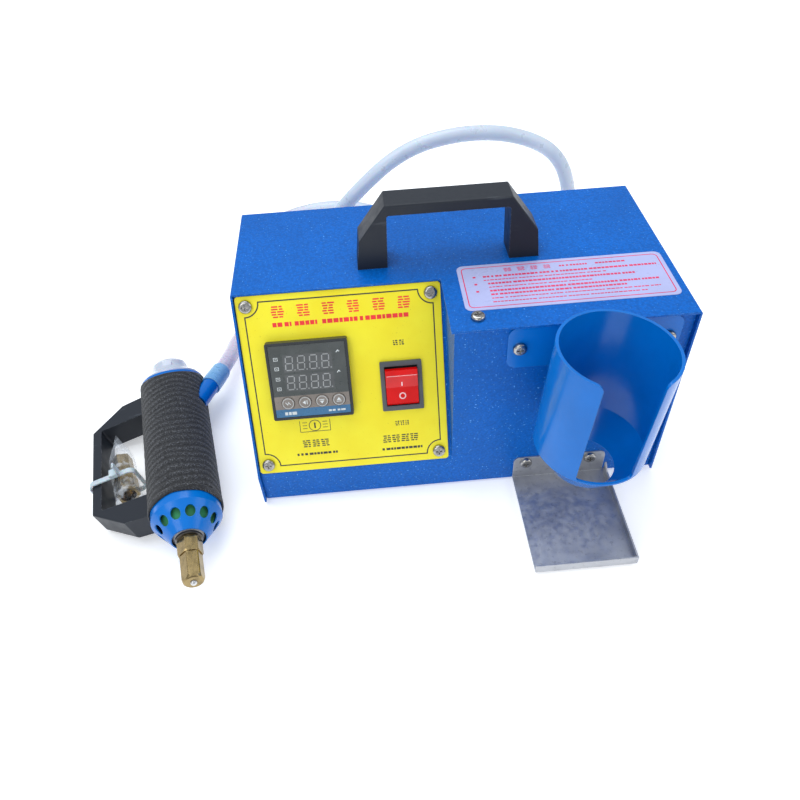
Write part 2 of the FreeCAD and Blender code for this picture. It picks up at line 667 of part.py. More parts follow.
def stub_rod(radius, start, end):
    a = stub_point(start)
    return Part.makeCylinder(radius, end - start, a, STUB_DIR)


def vents():
    holes = []
    for i in range(VENT_COUNT):
        turn = math.radians(360 / VENT_COUNT * i)
        holes.append(rod(VENT_R, (VENT_X, CONE_R * math.cos(turn), CONE_R * math.sin(turn)),
                         (VENT_X, 25 * math.cos(turn), 25 * math.sin(turn))))
    return group(holes)


def gun_screw_places():
    return [GUN_HANDLE_X + side * HANDLE_HOLES / 2 for side in (-1, 1)]


def make_housing():
    """The blue tube of the gun: closed at the back, coned at the front, with a side stub for the hose."""
    back = HOUSING_BACK - HOUSING_R
    outer = turned([(back, 0), (back, HOUSING_R), (CONE_START, HOUSING_R), (CONE_END, CONE_R), (CONE_END, 0)])
    inner = turned([(back, 0), (back, HOUSING_IN), (CONE_START, HOUSING_IN), (CONE_END + 1, CONE_R - 1.4),
                    (CONE_END + 1, 0)])
    outer = outer.cut(on_filling_end(x_rod(60, HOUSING_BACK - 60, HOUSING_BACK)))
    inner = inner.cut(on_filling_end(x_rod(60, HOUSING_BACK - 60, HOUSING_BACK + 1)))
    hole = on_filling_end(x_rod(NECK_R + 0.1, HOUSING_BACK - 3, HOUSING_BACK + 5))
    stub = stub_rod(STUB_R, 0, STUB_LEN).cut(inner)
    shell = outer.fuse(stub).cut(inner).cut(hole)
    shell = shell.cut(stub_rod(STUB_R - 1.2, -2, STUB_LEN + 1))
    shell = shell.cut(vents())
    for x in gun_screw_places():
        shell = shell.cut(rod(M4_CLEAR, (x, 0, 0), (x, -30, 0)))
    return on_gun(shell)


def make_insulation():
    """Glass-cloth lagging round the heater, drawn in to the barrel in front."""
    outline = [(-58, HEATER_R + 0.2), (-58, INSULATION_R), (46.5, INSULATION_R), (57, 12.3), (57, 11.2),
               (47, HEATER_R + 0.2)]
    return on_gun(turned(outline))


def make_barrel():
    """The aluminium glue barrel: a filling neck behind, a long bore, and a threaded outlet in front."""
    body = turned([(-70, 0), (-70, BARREL_R), (60, BARREL_R), (61.5, 8.0), (62.8, 8.0), (62.8, 4.9),
                   (70, 4.9), (70, 0)])
    bore = turned([(-68, 0), (-68, BARREL_BORE), (56, BARREL_BORE), (59, 2.4), (72, 2.4), (72, 0)])
    neck = turned([(-90, 0), (-90, NECK_R), (-84, NECK_R), (-84, BARREL_R), (-80.2, BARREL_R), (-80.2, NECK_R),
                   (-66, NECK_R), (-66, 0)])
    body = body.fuse(on_filling_end(neck)).cut(bore)
    return on_gun(body.cut(on_filling_end(x_rod(NECK_R - 1.5, -91, -60))))


def make_heater():
    """The mica band heater round the barrel, with its clamping gap."""
    band = x_pipe(HEATER_R, BARREL_R + 0.05, -32, 46)
    return on_gun(band.cut(box((-33, 47), (-1.5, 1.5), (5, 20))))


def make_thermocouple():
    return on_gun(rod(1.2, (-52, 0, -BARREL_R - 1.3), (-34, 0, -BARREL_R - 1.3)))


def make_nozzle_nut():
    nut = hexagon(NUT_AF, *NUT_SPAN)
    limit = turned([(NUT_SPAN[0], 0), (NUT_SPAN[0], 6.7), (NUT_SPAN[0] + 1.2, 7.5), (NUT_SPAN[1] - 1.2, 7.5),
                    (NUT_SPAN[1], 6.6), (NUT_SPAN[1], 0)])
    nut = nut.common(limit)
    nut = nut.cut(x_rod(4.95, NUT_SPAN[0] - 1, 70.1))
    return on_gun(nut.cut(x_rod(4.25, 69, NUT_SPAN[1] + 1)))


def make_tip():
    """The hexagonal nozzle tip, hollow for the spring and the valve pin."""
    tip = hexagon(TIP_AF, NUT_SPAN[1], TIP_END)
    limit = turned([(NUT_SPAN[1], 0), (NUT_SPAN[1], 6.5), (TIP_END - 2.2, 6.5), (TIP_END - 0.6, 5.8),
                    (TIP_END, 5.0), (TIP_END, 0)])
    tip = tip.common(limit)
    tip = tip.fuse(x_rod(4.2, 70.3, NUT_SPAN[1]))
    tip = tip.cut(x_rod(3.2, 73.0, 87.0)).cut(x_rod(1.6, 69, 74)).cut(x_rod(2.05, 86, TIP_END + 1))
    return on_gun(tip)


def make_valve_pin():
    pin = x_rod(3.0, 83.0, 86.9).fuse(x_rod(2.0, 81.0, TIP_END - 0.2))
    nose = Part.makeSphere(2.0, Vector(TIP_END - 0.2, 0, 0))
    return on_gun(pin.fuse(nose))


def make_valve_spring():
    return on_gun(x_pipe(3.0, 2.2, 73.2, 82.8))


def make_cap():
    """The white screw cap on the filling neck."""
    outline = [(-81.6, 0), (-81.6, 18.6), (-83.0, 18.6), (-86.5, 13.4), (-88.5, 12.4), (-92.5, 11.4),
               (-94.5, 9.0), (-94.9, 0)]
    cavity = [(-80, 0), (-80, 11.2), (-85.4, 11.2), (-85.4, 8.6), (-91.2, 8.6), (-91.2, 0)]
    cap = turned(outline).cut(turned(cavity))
    for i in range(6):
        turn = math.radians(60 * i)
        cap = cap.cut(rod(0.8, (-96, 12.6 * math.cos(turn), 12.6 * math.sin(turn)),
                          (-88.0, 12.6 * math.cos(turn), 12.6 * math.sin(turn))))
    return on_gun(on_filling_end(cap))


def make_cap_seal():
    return on_gun(on_filling_end(x_pipe(10.6, 8.7, -85.3, -84.05)))


def make_gun_handle():
    handle = bail(HANDLE_HALF, GUN_HANDLE_H, HANDLE_WIDE)
    handle.rotate(Vector(0, 0, 0), X_AXIS, 90)
    handle.translate(Vector(GUN_HANDLE_X, -GUN_HANDLE_BASE, 0))
    return on_gun(handle.cut(x_rod(HOUSING_R + 0.05, -90, 60)))


def make_gun_handle_screws():
    return on_gun(group([pan_screw((x, -HOUSING_IN + 0.7, 0), (0, 1, 0), 11, recess=False)
                         for x in gun_screw_places()]))


def leg_space(clearance):
    """The space that the handle's legs take where they pass through the sleeve."""
    half = HANDLE_WIDE / 2 + clearance
    spaces = []
    for side in (-1, 1):
        inner = GUN_HANDLE_X + side * (HANDLE_HALF - 17.4 - clearance)
        outer = GUN_HANDLE_X + side * (HANDLE_HALF + clearance)
        spaces.append(box((min(inner, outer), max(inner, outer)), (-30, -10), (-half, half)))
    return group(spaces)


def make_sleeve():
    """The fabric sleeve round the housing, open where the handle and the stub pass through."""
    sleeve = x_pipe(SLEEVE_R, HOUSING_R + 0.1, SLEEVE_SPAN[0] - SLEEVE_R, SLEEVE_SPAN[1])
    slant = on_filling_end(x_rod(60, HOUSING_BACK - 60, HOUSING_BACK))
    slant.translate(Vector(SLEEVE_SPAN[0] - HOUSING_BACK, 0, 0))
    sleeve = sleeve.cut(slant)
    sleeve = sleeve.cut(leg_space(0.3))
    return on_gun(sleeve.cut(stub_rod(STUB_R + 0.3, 0, STUB_LEN)))


def make_cuff():
    """The shrink sleeve over the end of the stub and the start of the hose."""
    cuff = stub_rod(STUB_R + 0.9, *CUFF_SPAN)
    cuff = cuff.cut(x_rod(SLEEVE_R + 0.15, -100, 60))
    return on_gun(cuff.cut(stub_rod(STUB_R + 0.03, CUFF_SPAN[0] - 1, CUFF_SPAN[1] + 1)))


# the spare nozzle hangs in a bag inside the gun handle, tied to its bar
SPARE_AT = (-16.0, -39.6, 0.0)
SPARE_TURN = -7.0         # the bag leans towards the bar at its tail
BAG_PROFILE = [(-27.0, 1.0), (-14, 6.0), (-6.5, 8.0), (16, 8.4), (31, 7.8), (33, 5.6)]


def on_spare(shape):
    moved = shape.copy()
    moved.rotate(Vector(0, 0, 0), Z_AXIS, -SPARE_TURN)
    moved.translate(Vector(*SPARE_AT))
    return on_gun(moved)


def make_spare_nozzle():
    nut = hexagon(NUT_AF, 13, 27).cut(x_rod(4.95, 20, 28))
    tip = hexagon(TIP_AF, -6, 13)
    return on_spare(nut.fuse(tip).cut(x_rod(1.6, -7, 21)))


def make_spare_bag():
    film = 0.3
    outer = turned([(BAG_PROFILE[0][0], 0)] + BAG_PROFILE + [(BAG_PROFILE[-1][0], 0)])
    first, last = BAG_PROFILE[0], BAG_PROFILE[-1]
    inside = [(first[0] + 2 * film, first[1] - film)] + [(x, r - film) for x, r in BAG_PROFILE[1:-1]]
    inside += [(last[0] - film, last[1] - film)]
    inner = turned([(inside[0][0], 0)] + inside + [(inside[-1][0], 0)])
    return on_spare(outer.cut(inner))


TIE_X = 0.0


def make_cable_tie():
    """A closed loop round the handle's bar and the bag, with its small square head on top."""
    def loop(grow, x0, x1):
        y, z = (-57.4 - grow, -28.2 + grow), (-9.25 - grow, 10.2 + grow)
        ring = box((x0, x1), y, z)
        along = [e for e in ring.Edges if e.BoundBox.XLength > 1]
        return ring.makeFillet(3.4 + grow, along)
    tie = loop(0.9, TIE_X - 1.8, TIE_X + 1.8).cut(loop(0, TIE_X - 3, TIE_X + 3))
    head = box((TIE_X - 2.8, TIE_X + 2.8), (-42.0, -37.0), (11.1, 14.1))
    tail = box((TIE_X - 1.8, TIE_X + 1.8), (-37.0, -35.8), (11.1, 20.0))
    return on_gun(tie.fuse(head).fuse(tail))


# ================================================================ hose
def hose_points():
    start = (GLAND_X, BOX_D + GLAND_LEN, GLAND_Z)
    end = GUN.multVec(stub_point(STUB_LEN + 0.05))
    before = GUN.multVec(stub_point(STUB_LEN + 24))
    laid = [(x, y, HOSE_FLOOR) for x, y in HOSE_LAID]
    return [Vector(*p) for p in [start] + HOSE_AIR + laid] + [before, end]


def make_hose():
    """Straight runs joined by arcs that are as large as the runs allow."""
    points = hose_points()
    edges, radii, last = [], [], points[0]
    for a, b, c in zip(points, points[1:], points[2:]):
        inward, onward = (b - a).normalize(), (c - b).normalize()
        turn = inward.getAngle(onward)
        shorter = min((b - a).Length, (c - b).Length)
        cut = 0.45 * shorter
        radii.append(cut / math.tan(turn / 2))
        enter, leave = b - inward * cut, b + onward * cut
        middle = b + (onward - inward).normalize() * (radii[-1] / math.cos(turn / 2) - radii[-1])
        edges.append(Part.LineSegment(last, enter).toShape())
        edges.append(Part.Arc(enter, middle, leave).toShape())
        last = leave
    edges.append(Part.LineSegment(last, points[-1]).toShape())
    path = Part.Wire(edges)
    ring = Part.Wire(Part.makeCircle(HOSE_R, points[0], points[1] - points[0]))
    tube = path.makePipeShell([ring], True, False)
    print("hose length", round(path.Length, 1), "volume ratio",
          round(tube.Volume / (math.pi * HOSE_R ** 2 * path.Length), 4))
    print("hose arc radii", [round(r, 1) for r in radii])
    return tube


# ================================================================ the whole model
def design_nodes():
    """Every node in the design frame."""
    nodes = {
        "chassis": make_chassis(), "cover": make_cover(), "cover_screws": make_cover_screws(),
        "rubber_feet": make_feet(), "carry_handle": make_carry_handle(),
        "carry_handle_screws": make_carry_handle_screws(), "instruction_label": make_label(),
        "control_plate": make_plate(), "control_plate_screws": make_plate_screws(),
        "controller_case": make_controller_case(), "controller_face": make_controller_face(),
        "controller_display": make_display(), "controller_board": make_controller_board(),
        "controller_terminals": make_controller_back(), "controller_clamp": make_controller_clamp(),
        "switch_body": make_switch_body(), "switch_rocker": make_rocker(),
        "switch_tabs": make_switch_tabs(), "cup_bracket": make_cup_bracket(), "gun_cup": make_cup(),
        "cup_screws": make_cup_screws(), "drip_tray": make_tray(), "tray_screws": make_tray_screws(),
        "power_inlet": make_inlet(), "inlet_screws": make_inlet_screws(), "hose_gland": make_gland(),
        "gland_nut": make_gland_nut(), "heater_relay": make_relay(), "relay_screws": make_relay_screws(),
        "terminal_strip": make_terminals(), "gun_housing": make_housing(),
        "gun_insulation": make_insulation(), "glue_barrel": make_barrel(), "barrel_heater": make_heater(),
        "thermocouple": make_thermocouple(), "nozzle_nut": make_nozzle_nut(),
        "nozzle_tip": make_tip(), "valve_pin": make_valve_pin(),
        "valve_spring": make_valve_spring(), "gun_cap": make_cap(), "cap_seal": make_cap_seal(),
        "gun_handle": make_gun_handle(), "gun_handle_screws": make_gun_handle_screws(),
        "gun_sleeve": make_sleeve(), "hose_cuff": make_cuff(), "spare_nozzle": make_spare_nozzle(),
        "spare_bag": make_spare_bag(), "cable_tie": make_cable_tie(), "glue_hose": make_hose(),
    }
    for index, name in enumerate(KEY_NAMES):
        nodes["key_" + name] = make_key(index)
    return nodes


def footprint_shift(nodes):
    """Moves the middle of the footprint, without the hose, to the origin."""
    limits = FreeCAD.BoundBox()
    for name, shape in nodes.items():
        if name != "glue_hose":
            limits.add(shape.BoundBox)
    return Vector(-(limits.XMin + limits.XMax) / 2, -(limits.YMin + limits.YMax) / 2, -limits.ZMin)


def main():
    os.makedirs("parts", exist_ok=True)
    nodes = design_nodes()
    shift = footprint_shift(nodes)
    print("shift", tuple(round(v, 4) for v in shift))
    for name, shape in nodes.items():
        shape.translate(shift)
        shape.exportStep("parts/" + name + ".step")
    return nodes, shift


if __name__ == "__main__":
    main()
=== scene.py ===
"""The looks of a hot-melt glue applicator: a blue control box, a hand gun and the hose between them.

Lengths are in millimetres in the design frame (origin at the box's front left bottom corner, X to the
right, Y to the back, Z up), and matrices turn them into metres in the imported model's frame.
"""
import math
import random

import bpy
from mathutils import Matrix, Vector, noise


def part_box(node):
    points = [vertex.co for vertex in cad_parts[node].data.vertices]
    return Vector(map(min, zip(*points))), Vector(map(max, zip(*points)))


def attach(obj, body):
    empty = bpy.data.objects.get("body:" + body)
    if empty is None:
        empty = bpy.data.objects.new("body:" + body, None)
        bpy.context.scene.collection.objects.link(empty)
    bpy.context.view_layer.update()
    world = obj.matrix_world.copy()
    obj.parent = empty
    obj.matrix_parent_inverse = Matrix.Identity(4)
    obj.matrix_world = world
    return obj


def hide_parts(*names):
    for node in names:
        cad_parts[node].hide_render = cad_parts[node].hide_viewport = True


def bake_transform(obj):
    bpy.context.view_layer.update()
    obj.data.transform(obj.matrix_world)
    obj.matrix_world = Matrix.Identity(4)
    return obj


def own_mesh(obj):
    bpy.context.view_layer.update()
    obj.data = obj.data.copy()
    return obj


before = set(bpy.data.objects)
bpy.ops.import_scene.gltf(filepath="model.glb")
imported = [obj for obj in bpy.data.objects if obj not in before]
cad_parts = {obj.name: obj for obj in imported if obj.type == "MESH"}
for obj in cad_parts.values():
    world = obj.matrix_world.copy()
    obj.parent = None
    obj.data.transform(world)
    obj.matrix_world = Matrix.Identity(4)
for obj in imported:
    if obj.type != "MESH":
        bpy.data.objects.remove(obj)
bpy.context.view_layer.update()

MM = 0.001

# ---------------------------------------------------------------- frames
CHASSIS_INSET = 1.4
BOX_D, BOX_H = 132.0, 130.0
SLOPE_FOOT_Z = 24.0
SLOPE_SETBACK = 48.0
SLOPE_ANGLE = math.atan2(BOX_H - SLOPE_FOOT_Z, SLOPE_SETBACK)
SLOPE_LEN = math.hypot(BOX_H - SLOPE_FOOT_Z, SLOPE_SETBACK)
FLOOR_Z = -2.0
CTRL_U, CTRL_T, CTRL_HALF = 39.6, 61.9, 24.0        # the controller's centre and half its bezel

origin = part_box("chassis")[0] - Vector((CHASSIS_INSET * MM, 0, 0))
DESIGN = Matrix.Translation(origin) @ Matrix.Scale(MM, 4)
# u to the right, t up the slope from its foot, w outwards
SLOPE = DESIGN @ Matrix.Translation((0, 0, SLOPE_FOOT_Z)) @ Matrix.Rotation(SLOPE_ANGLE, 4, "X")


def frame_of(x_axis, y_axis, at):
    """A frame with two given axes, in the design frame."""
    z_axis = x_axis.cross(y_axis)
    matrix = Matrix((x_axis, y_axis, z_axis)).transposed().to_4x4()
    matrix.translation = at
    return matrix


GUN_HEADING = math.radians(12.1)
GUN_ROLL = math.radians(11.5)
GUN_AT = Vector((-52.1, 20.0, 20.0))
forward = Vector((math.sin(GUN_HEADING), -math.cos(GUN_HEADING), 0))
sideways = Vector((math.cos(GUN_HEADING), math.sin(GUN_HEADING), 0))
outward = sideways * math.cos(GUN_ROLL) + Vector((0, 0, 1)) * math.sin(GUN_ROLL)
# x towards the nozzle, y away from the handle, z across the handle
GUN_IN_DESIGN = frame_of(forward, outward, GUN_AT)
GUN = DESIGN @ GUN_IN_DESIGN
STUB_START = Vector((-46.0, 17.0, 1.5))
STUB_DIR = Vector((-0.87, 0.42, -0.25)).normalized()
STUB_LEN = 33.5
REAR_SLANT = math.radians(30.0)      # the filling end faces up and back

# ---------------------------------------------------------------- camera
CAMERA_AT = (79.61, -287.40, 371.42)
CAMERA_RIGHT = (0.99603, -0.07994, -0.03907)
CAMERA_UP = (0.08430, 0.70734, 0.70182)
CAMERA_BACK = (-0.02846, -0.70234, 0.71128)
camera_data = bpy.data.cameras.new("camera")
camera_data.sensor_width = 36.0
camera_data.lens = 32.06
camera_data.clip_start = 0.01
camera_data.clip_end = 50.0
camera = bpy.data.objects.new("camera", camera_data)
bpy.context.collection.objects.link(camera)
turn = Matrix((CAMERA_RIGHT, CAMERA_UP, CAMERA_BACK)).transposed().to_4x4()
camera.matrix_world = Matrix.Translation(DESIGN @ Vector(CAMERA_AT)) @ turn
bpy.context.scene.camera = camera


# ================================================================ node materials
class Shader:
    """A node material with a Principled shader, and short ways to add texture to it."""

    def __init__(self, name, color, roughness, metallic=0.0, **sockets):
        self.material = bpy.data.materials.new(name)
        self.material.use_nodes = True
        self.tree = self.material.node_tree
        self.bsdf = self.tree.nodes["Principled BSDF"]
        self.bsdf.inputs["Base Color"].default_value = (*color, 1)
        self.bsdf.inputs["Roughness"].default_value = roughness
        self.bsdf.inputs["Metallic"].default_value = metallic
        for socket, value in sockets.items():
            self.bsdf.inputs[socket.replace("_", " ")].default_value = value
        self.coords = self.node("ShaderNodeTexCoord").outputs["Object"]
        self.normal = None

    def node(self, kind, **settings):
        made = self.tree.nodes.new(kind)
        for key, value in settings.items():
            setattr(made, key, value)
        return made

    def link(self, source, target):
        self.tree.links.new(source, target)

    def stretched(self, factors, source=None):
        """The coordinates, scaled by a factor on each axis."""
        node = self.node("ShaderNodeVectorMath", operation="MULTIPLY")
        self.link(source or self.coords, node.inputs[0])
        node.inputs[1].default_value = factors
        return node.outputs[0]

    def along(self, direction, offset=0.0):
        """Distance along a direction, from an offset, both in metres."""
        dot = self.node("ShaderNodeVectorMath", operation="DOT_PRODUCT")
        self.link(self.coords, dot.inputs[0])
        dot.inputs[1].default_value = direction
        return self.math("SUBTRACT", dot.outputs["Value"], offset)

    def math(self, operation, a, b=0.0, clamp=False):
        node = self.node("ShaderNodeMath", operation=operation, use_clamp=clamp)
        for i, value in enumerate((a, b)):
            if isinstance(value, (int, float)):
                node.inputs[i].default_value = value
            else:
                self.link(value, node.inputs[i])
        return node.outputs[0]

    def noise(self, size_mm, detail=3.0, rough=0.55, source=None):
        node = self.node("ShaderNodeTexNoise")
        node.inputs["Scale"].default_value = 1000.0 / size_mm
        node.inputs["Detail"].default_value = detail
        node.inputs["Roughness"].default_value = rough
        self.link(source or self.coords, node.inputs["Vector"])
        return node.outputs["Fac"]

    def cells(self, size_mm, feature="F1", output="Distance", smooth=None):
        node = self.node("ShaderNodeTexVoronoi", feature=feature)
        node.inputs["Scale"].default_value = 1000.0 / size_mm
        if smooth is not None:
            node.inputs["Smoothness"].default_value = smooth
        self.link(self.coords, node.inputs["Vector"])
        return node.outputs[output]

    def waves(self, size_mm, direction, source=None, distortion=0.0):
        node = self.node("ShaderNodeTexWave", bands_direction=direction)
        node.inputs["Scale"].default_value = 314.16 / size_mm
        node.inputs["Distortion"].default_value = distortion
        self.link(source or self.coords, node.inputs["Vector"])
        return node.outputs["Fac"]

    def ramp(self, fac, *stops):
        """A colour or grey ramp: each stop is (position, grey) or (position, (r, g, b))."""
        node = self.node("ShaderNodeValToRGB")
        self.link(fac, node.inputs["Fac"])
        points = node.color_ramp.elements
        while len(points) < len(stops):
            points.new(0.5)
        for point, (position, value) in zip(points, stops):
            point.position = position
            rgb = value if isinstance(value, tuple) else (value,) * 3
            point.color = (*rgb, 1)
        return node.outputs["Color"]

    def mix(self, fac, a, b):
        node = self.node("ShaderNodeMix", data_type="RGBA")
        if isinstance(fac, (int, float)):
            node.inputs["Factor"].default_value = fac
        else:
            self.link(fac, node.inputs["Factor"])
        for index, value in ((6, a), (7, b)):
            if isinstance(value, tuple):
                node.inputs[index].default_value = (*value, 1)
            else:
                self.link(value, node.inputs[index])
        return node.outputs[2]

    def color(self, source):
        self.link(source, self.bsdf.inputs["Base Color"])
        return source

    def roughness(self, fac, low, high):
        self.link(self.ramp(fac, (0.3, low), (0.7, high)), self.bsdf.inputs["Roughness"])

    def rounded(self, radius_mm):
        """Softens the look of sharp edges."""
        node = self.node("ShaderNodeBevel", samples=4)
        node.inputs["Radius"].default_value = radius_mm * MM
        self.normal = node.outputs["Normal"]
        self.link(self.normal, self.bsdf.inputs["Normal"])
        return self.normal

    def bump(self, height, depth_mm, strength=1.0):
        node = self.node("ShaderNodeBump")
        node.inputs["Distance"].default_value = depth_mm * MM
        node.inputs["Strength"].default_value = strength
        self.link(height, node.inputs["Height"])
        if self.normal is not None:
            self.link(self.normal, node.inputs["Normal"])
        self.normal = node.outputs["Normal"]
        self.link(self.normal, self.bsdf.inputs["Normal"])

    def edges(self, radius_mm, low=0.80, high=0.97):
        """0 on flat areas and 1 at sharp edges: the mask where a painted edge highlight goes."""
        node = self.node("ShaderNodeBevel", samples=4)
        node.inputs["Radius"].default_value = radius_mm * MM
        flat = self.node("ShaderNodeNewGeometry").outputs["Normal"]
        dot = self.node("ShaderNodeVectorMath", operation="DOT_PRODUCT")
        self.link(node.outputs["Normal"], dot.inputs[0])
        self.link(flat, dot.inputs[1])
        return self.ramp(dot.outputs["Value"], (low, 1.0), (high, 0.0))


def shade(color, factor):
    return tuple(min(1.0, c * factor) for c in color)


def grained(name, color, roughness, metallic=0.0, grain=0.6, depth=0.02, vary=0.12, edge=0.3, **sockets):
    """A plain finish: slight colour variation, uneven roughness, a fine grain and softened edges."""
    shader = Shader(name, color, roughness, metallic, **sockets)
    cloud = shader.noise(14.0)
    shader.color(shader.mix(shader.ramp(cloud, (0.35, 0.0), (0.65, 1.0)),
                            shade(color, 1 - vary), shade(color, 1 + vary)))
    shader.roughness(shader.noise(5.0), roughness * 0.85, min(1.0, roughness * 1.15))
    if edge:
        shader.rounded(edge)
    shader.bump(shader.noise(grain, detail=2.0), depth)
    return shader


def powder_coat():
    """Blue wrinkle paint with fine sparkle, painted shade in the wrinkle valleys and painted highlights along
    the edges, broken into patches.
    """
    color = (0.0, 0.118, 0.50)
    shader = Shader("powder_coat", color, 0.4, Specular_IOR_Level=0.16)
    wrinkle = shader.cells(1.5, feature="SMOOTH_F1", smooth=0.35)
    fine = shader.noise(0.7, detail=2.0)
    cloud = shader.noise(40.0)
    tint = shader.mix(shader.ramp(cloud, (0.3, 0.0), (0.7, 1.0)), shade(color, 0.9), shade(color, 1.1))
    # painted shade: the colour darkens in the wrinkle valleys, where the bump sinks
    tint = shader.mix(shader.ramp(wrinkle, (0.25, 0.0), (0.75, 0.55)), tint, shade(color, 0.62))
    fleck = shader.ramp(shader.noise(1.1, detail=1.0), (0.70, 0.0), (0.76, 0.75))
    tint = shader.mix(fleck, tint, (0.14, 0.46, 0.88))
    # painted highlight: paler blue along the sharp edges, broken into patches
    patches = shader.ramp(shader.noise(3.0), (0.42, 0.0), (0.6, 0.8))
    painted_edge_highlight = shader.math("MULTIPLY", shader.edges(0.35), patches)
    shader.color(shader.mix(painted_edge_highlight, tint, (0.22, 0.45, 0.80)))
    shader.roughness(fine, 0.28, 0.46)
    shader.rounded(0.5)
    height = shader.math("ADD", shader.math("MULTIPLY", wrinkle, -0.8), fine)
    shader.bump(height, 0.14, 0.85)
    return shader.material


def smooth_paint():
    """Blue gloss paint with slight orange peel and painted highlights on the rims."""
    color = (0.0, 0.14, 0.52)
    shader = Shader("smooth_paint", color, 0.2, Specular_IOR_Level=0.25, Coat_Weight=0.12,
                    Coat_Roughness=0.12)
    cloud = shader.noise(25.0)
    tint = shader.mix(shader.ramp(cloud, (0.3, 0.0), (0.7, 1.0)), shade(color, 0.92), shade(color, 1.08))
    # painted highlight: paler blue on the sharp edges
    shader.color(shader.mix(shader.math("MULTIPLY", shader.edges(0.3), 0.6), tint, (0.10, 0.36, 0.85)))
    shader.roughness(shader.noise(6.0), 0.16, 0.26)
    shader.rounded(0.4)
    shader.bump(shader.noise(2.4, detail=2.0), 0.05, 0.6)
    return shader.material


def yellow_film():
    color = (0.90, 0.75, 0.006)
    shader = Shader("yellow_film", color, 0.34, Coat_Weight=0.1)
    cloud = shader.noise(30.0)
    tint = shader.mix(shader.ramp(cloud, (0.3, 0.0), (0.7, 1.0)), shade(color, 0.94), (0.90, 0.81, 0.02))
    speck = shader.ramp(shader.noise(0.9, detail=1.0), (0.74, 0.0), (0.78, 0.5))
    shader.color(shader.mix(speck, tint, shade(color, 0.45)))
    shader.roughness(shader.noise(8.0), 0.28, 0.42)
    shader.rounded(0.3)
    shader.bump(shader.noise(1.6, detail=2.0), 0.02, 0.5)
    return shader.material


def moulded_black():
    """Satin black plastic of the two handles, with painted highlights broken along the edges and fine
    scratches.
    """
    color = (0.017, 0.021, 0.029)
    shader = Shader("moulded_black", color, 0.42, Specular_IOR_Level=0.25)
    scratch = shader.noise(5.0, detail=4.0, source=shader.stretched((0.08, 1.0, 1.0)))
    scratched = shader.ramp(scratch, (0.66, 0.0), (0.70, 0.35))
    tint = shader.mix(scratched, color, (0.075, 0.085, 0.10))
    # painted highlight: pale broken lines along the sharp edges, where light catches them
    broken = shader.ramp(shader.noise(1.6, detail=2.0), (0.45, 0.0), (0.56, 1.0))
    painted_edge_highlight = shader.math("MULTIPLY", shader.edges(0.28, 0.72, 0.93), broken)
    shader.color(shader.mix(painted_edge_highlight, tint, (0.36, 0.38, 0.42)))
    shader.roughness(shader.noise(7.0), 0.36, 0.5)
    shader.rounded(0.35)
    shader.bump(shader.noise(0.45, detail=2.0), 0.02, 0.7)
    return shader.material


def zinc_sheet():
    """Galvanised sheet: large soft spangles, dull spots and painted highlights on the edges."""
    color = (0.40, 0.415, 0.45)
    shader = Shader("zinc_sheet", color, 0.42, 0.85)
    spangle = shader.ramp(shader.noise(16.0, detail=5.0, rough=0.65), (0.35, 0.0), (0.65, 1.0))
    tint = shader.mix(spangle, (0.42, 0.43, 0.46), (0.54, 0.55, 0.57))
    spots = shader.ramp(shader.noise(3.2, detail=5.0, rough=0.7), (0.56, 0.0), (0.66, 0.55))
    tint = shader.mix(spots, tint, (0.28, 0.285, 0.31))
    # painted highlight: paler grey on the sharp edges
    shader.color(shader.mix(shader.math("MULTIPLY", shader.edges(0.4), 0.8), tint, (0.78, 0.79, 0.80)))
    shader.roughness(shader.noise(4.0, detail=4.0), 0.34, 0.58)
    shader.rounded(0.4)
    shader.bump(shader.noise(1.1, detail=4.0), 0.05, 0.6)
    return shader.material


def metal(name, color, roughness, grain_mm, stretch, edge=0.15, stain=0.25, **sockets):
    """Turned or drawn metal: fine lines one way, slight staining, and painted highlights on the edges."""
    shader = Shader(name, color, roughness, 1.0, **sockets)
    lines = shader.noise(grain_mm, detail=3.0, source=shader.stretched(stretch))
    stains = shader.ramp(shader.noise(4.5, detail=4.0), (0.48, 0.0), (0.68, stain * 2))
    tint = shader.mix(stains, color, shade(color, 0.5))
    # painted highlight: a brighter tone on the sharp edges
    shader.color(shader.mix(shader.math("MULTIPLY", shader.edges(0.2), 0.5), tint, shade(color, 1.35)))
    shader.roughness(lines, roughness * 0.75, roughness * 1.35)
    shader.rounded(edge)
    shader.bump(lines, 0.012, 0.6)
    return shader.material


def sleeve_cloth():
    """Ribbed black cloth with pale specks, drawn in the sleeve's own UV lengths; the specks are dimmed as
    painted shade in the rib valleys.
    """
    shader = Shader("sleeve_cloth", (0.02, 0.021, 0.024), 0.88, Sheen_Weight=0.12, Sheen_Roughness=0.5)
    uv = shader.node("ShaderNodeUVMap", uv_map="cloth").outputs["UV"]
    across = shader.waves(0.9, "X", uv, 0.6)
    along = shader.waves(0.9, "Y", uv, 0.6)
    weave = shader.math("MULTIPLY", across, along)
    speck = shader.noise(0.8, detail=3.0, rough=0.7)
    # the pale specks are real; painted light: they are full on the rib crests and dimmed to a quarter in the
    # valleys
    crest = shader.node("ShaderNodeAttribute", attribute_name="crest").outputs["Fac"]
    pale = shader.math("MULTIPLY", shader.ramp(speck, (0.47, 0.0), (0.66, 1.0)),
                       shader.ramp(crest, (0.1, 0.25), (0.9, 1.0)))
    shader.color(shader.mix(pale, (0.006, 0.0065, 0.008), (0.12, 0.126, 0.14)))
    shader.bump(shader.math("ADD", weave, speck), 0.12, 0.8)
    return shader.material


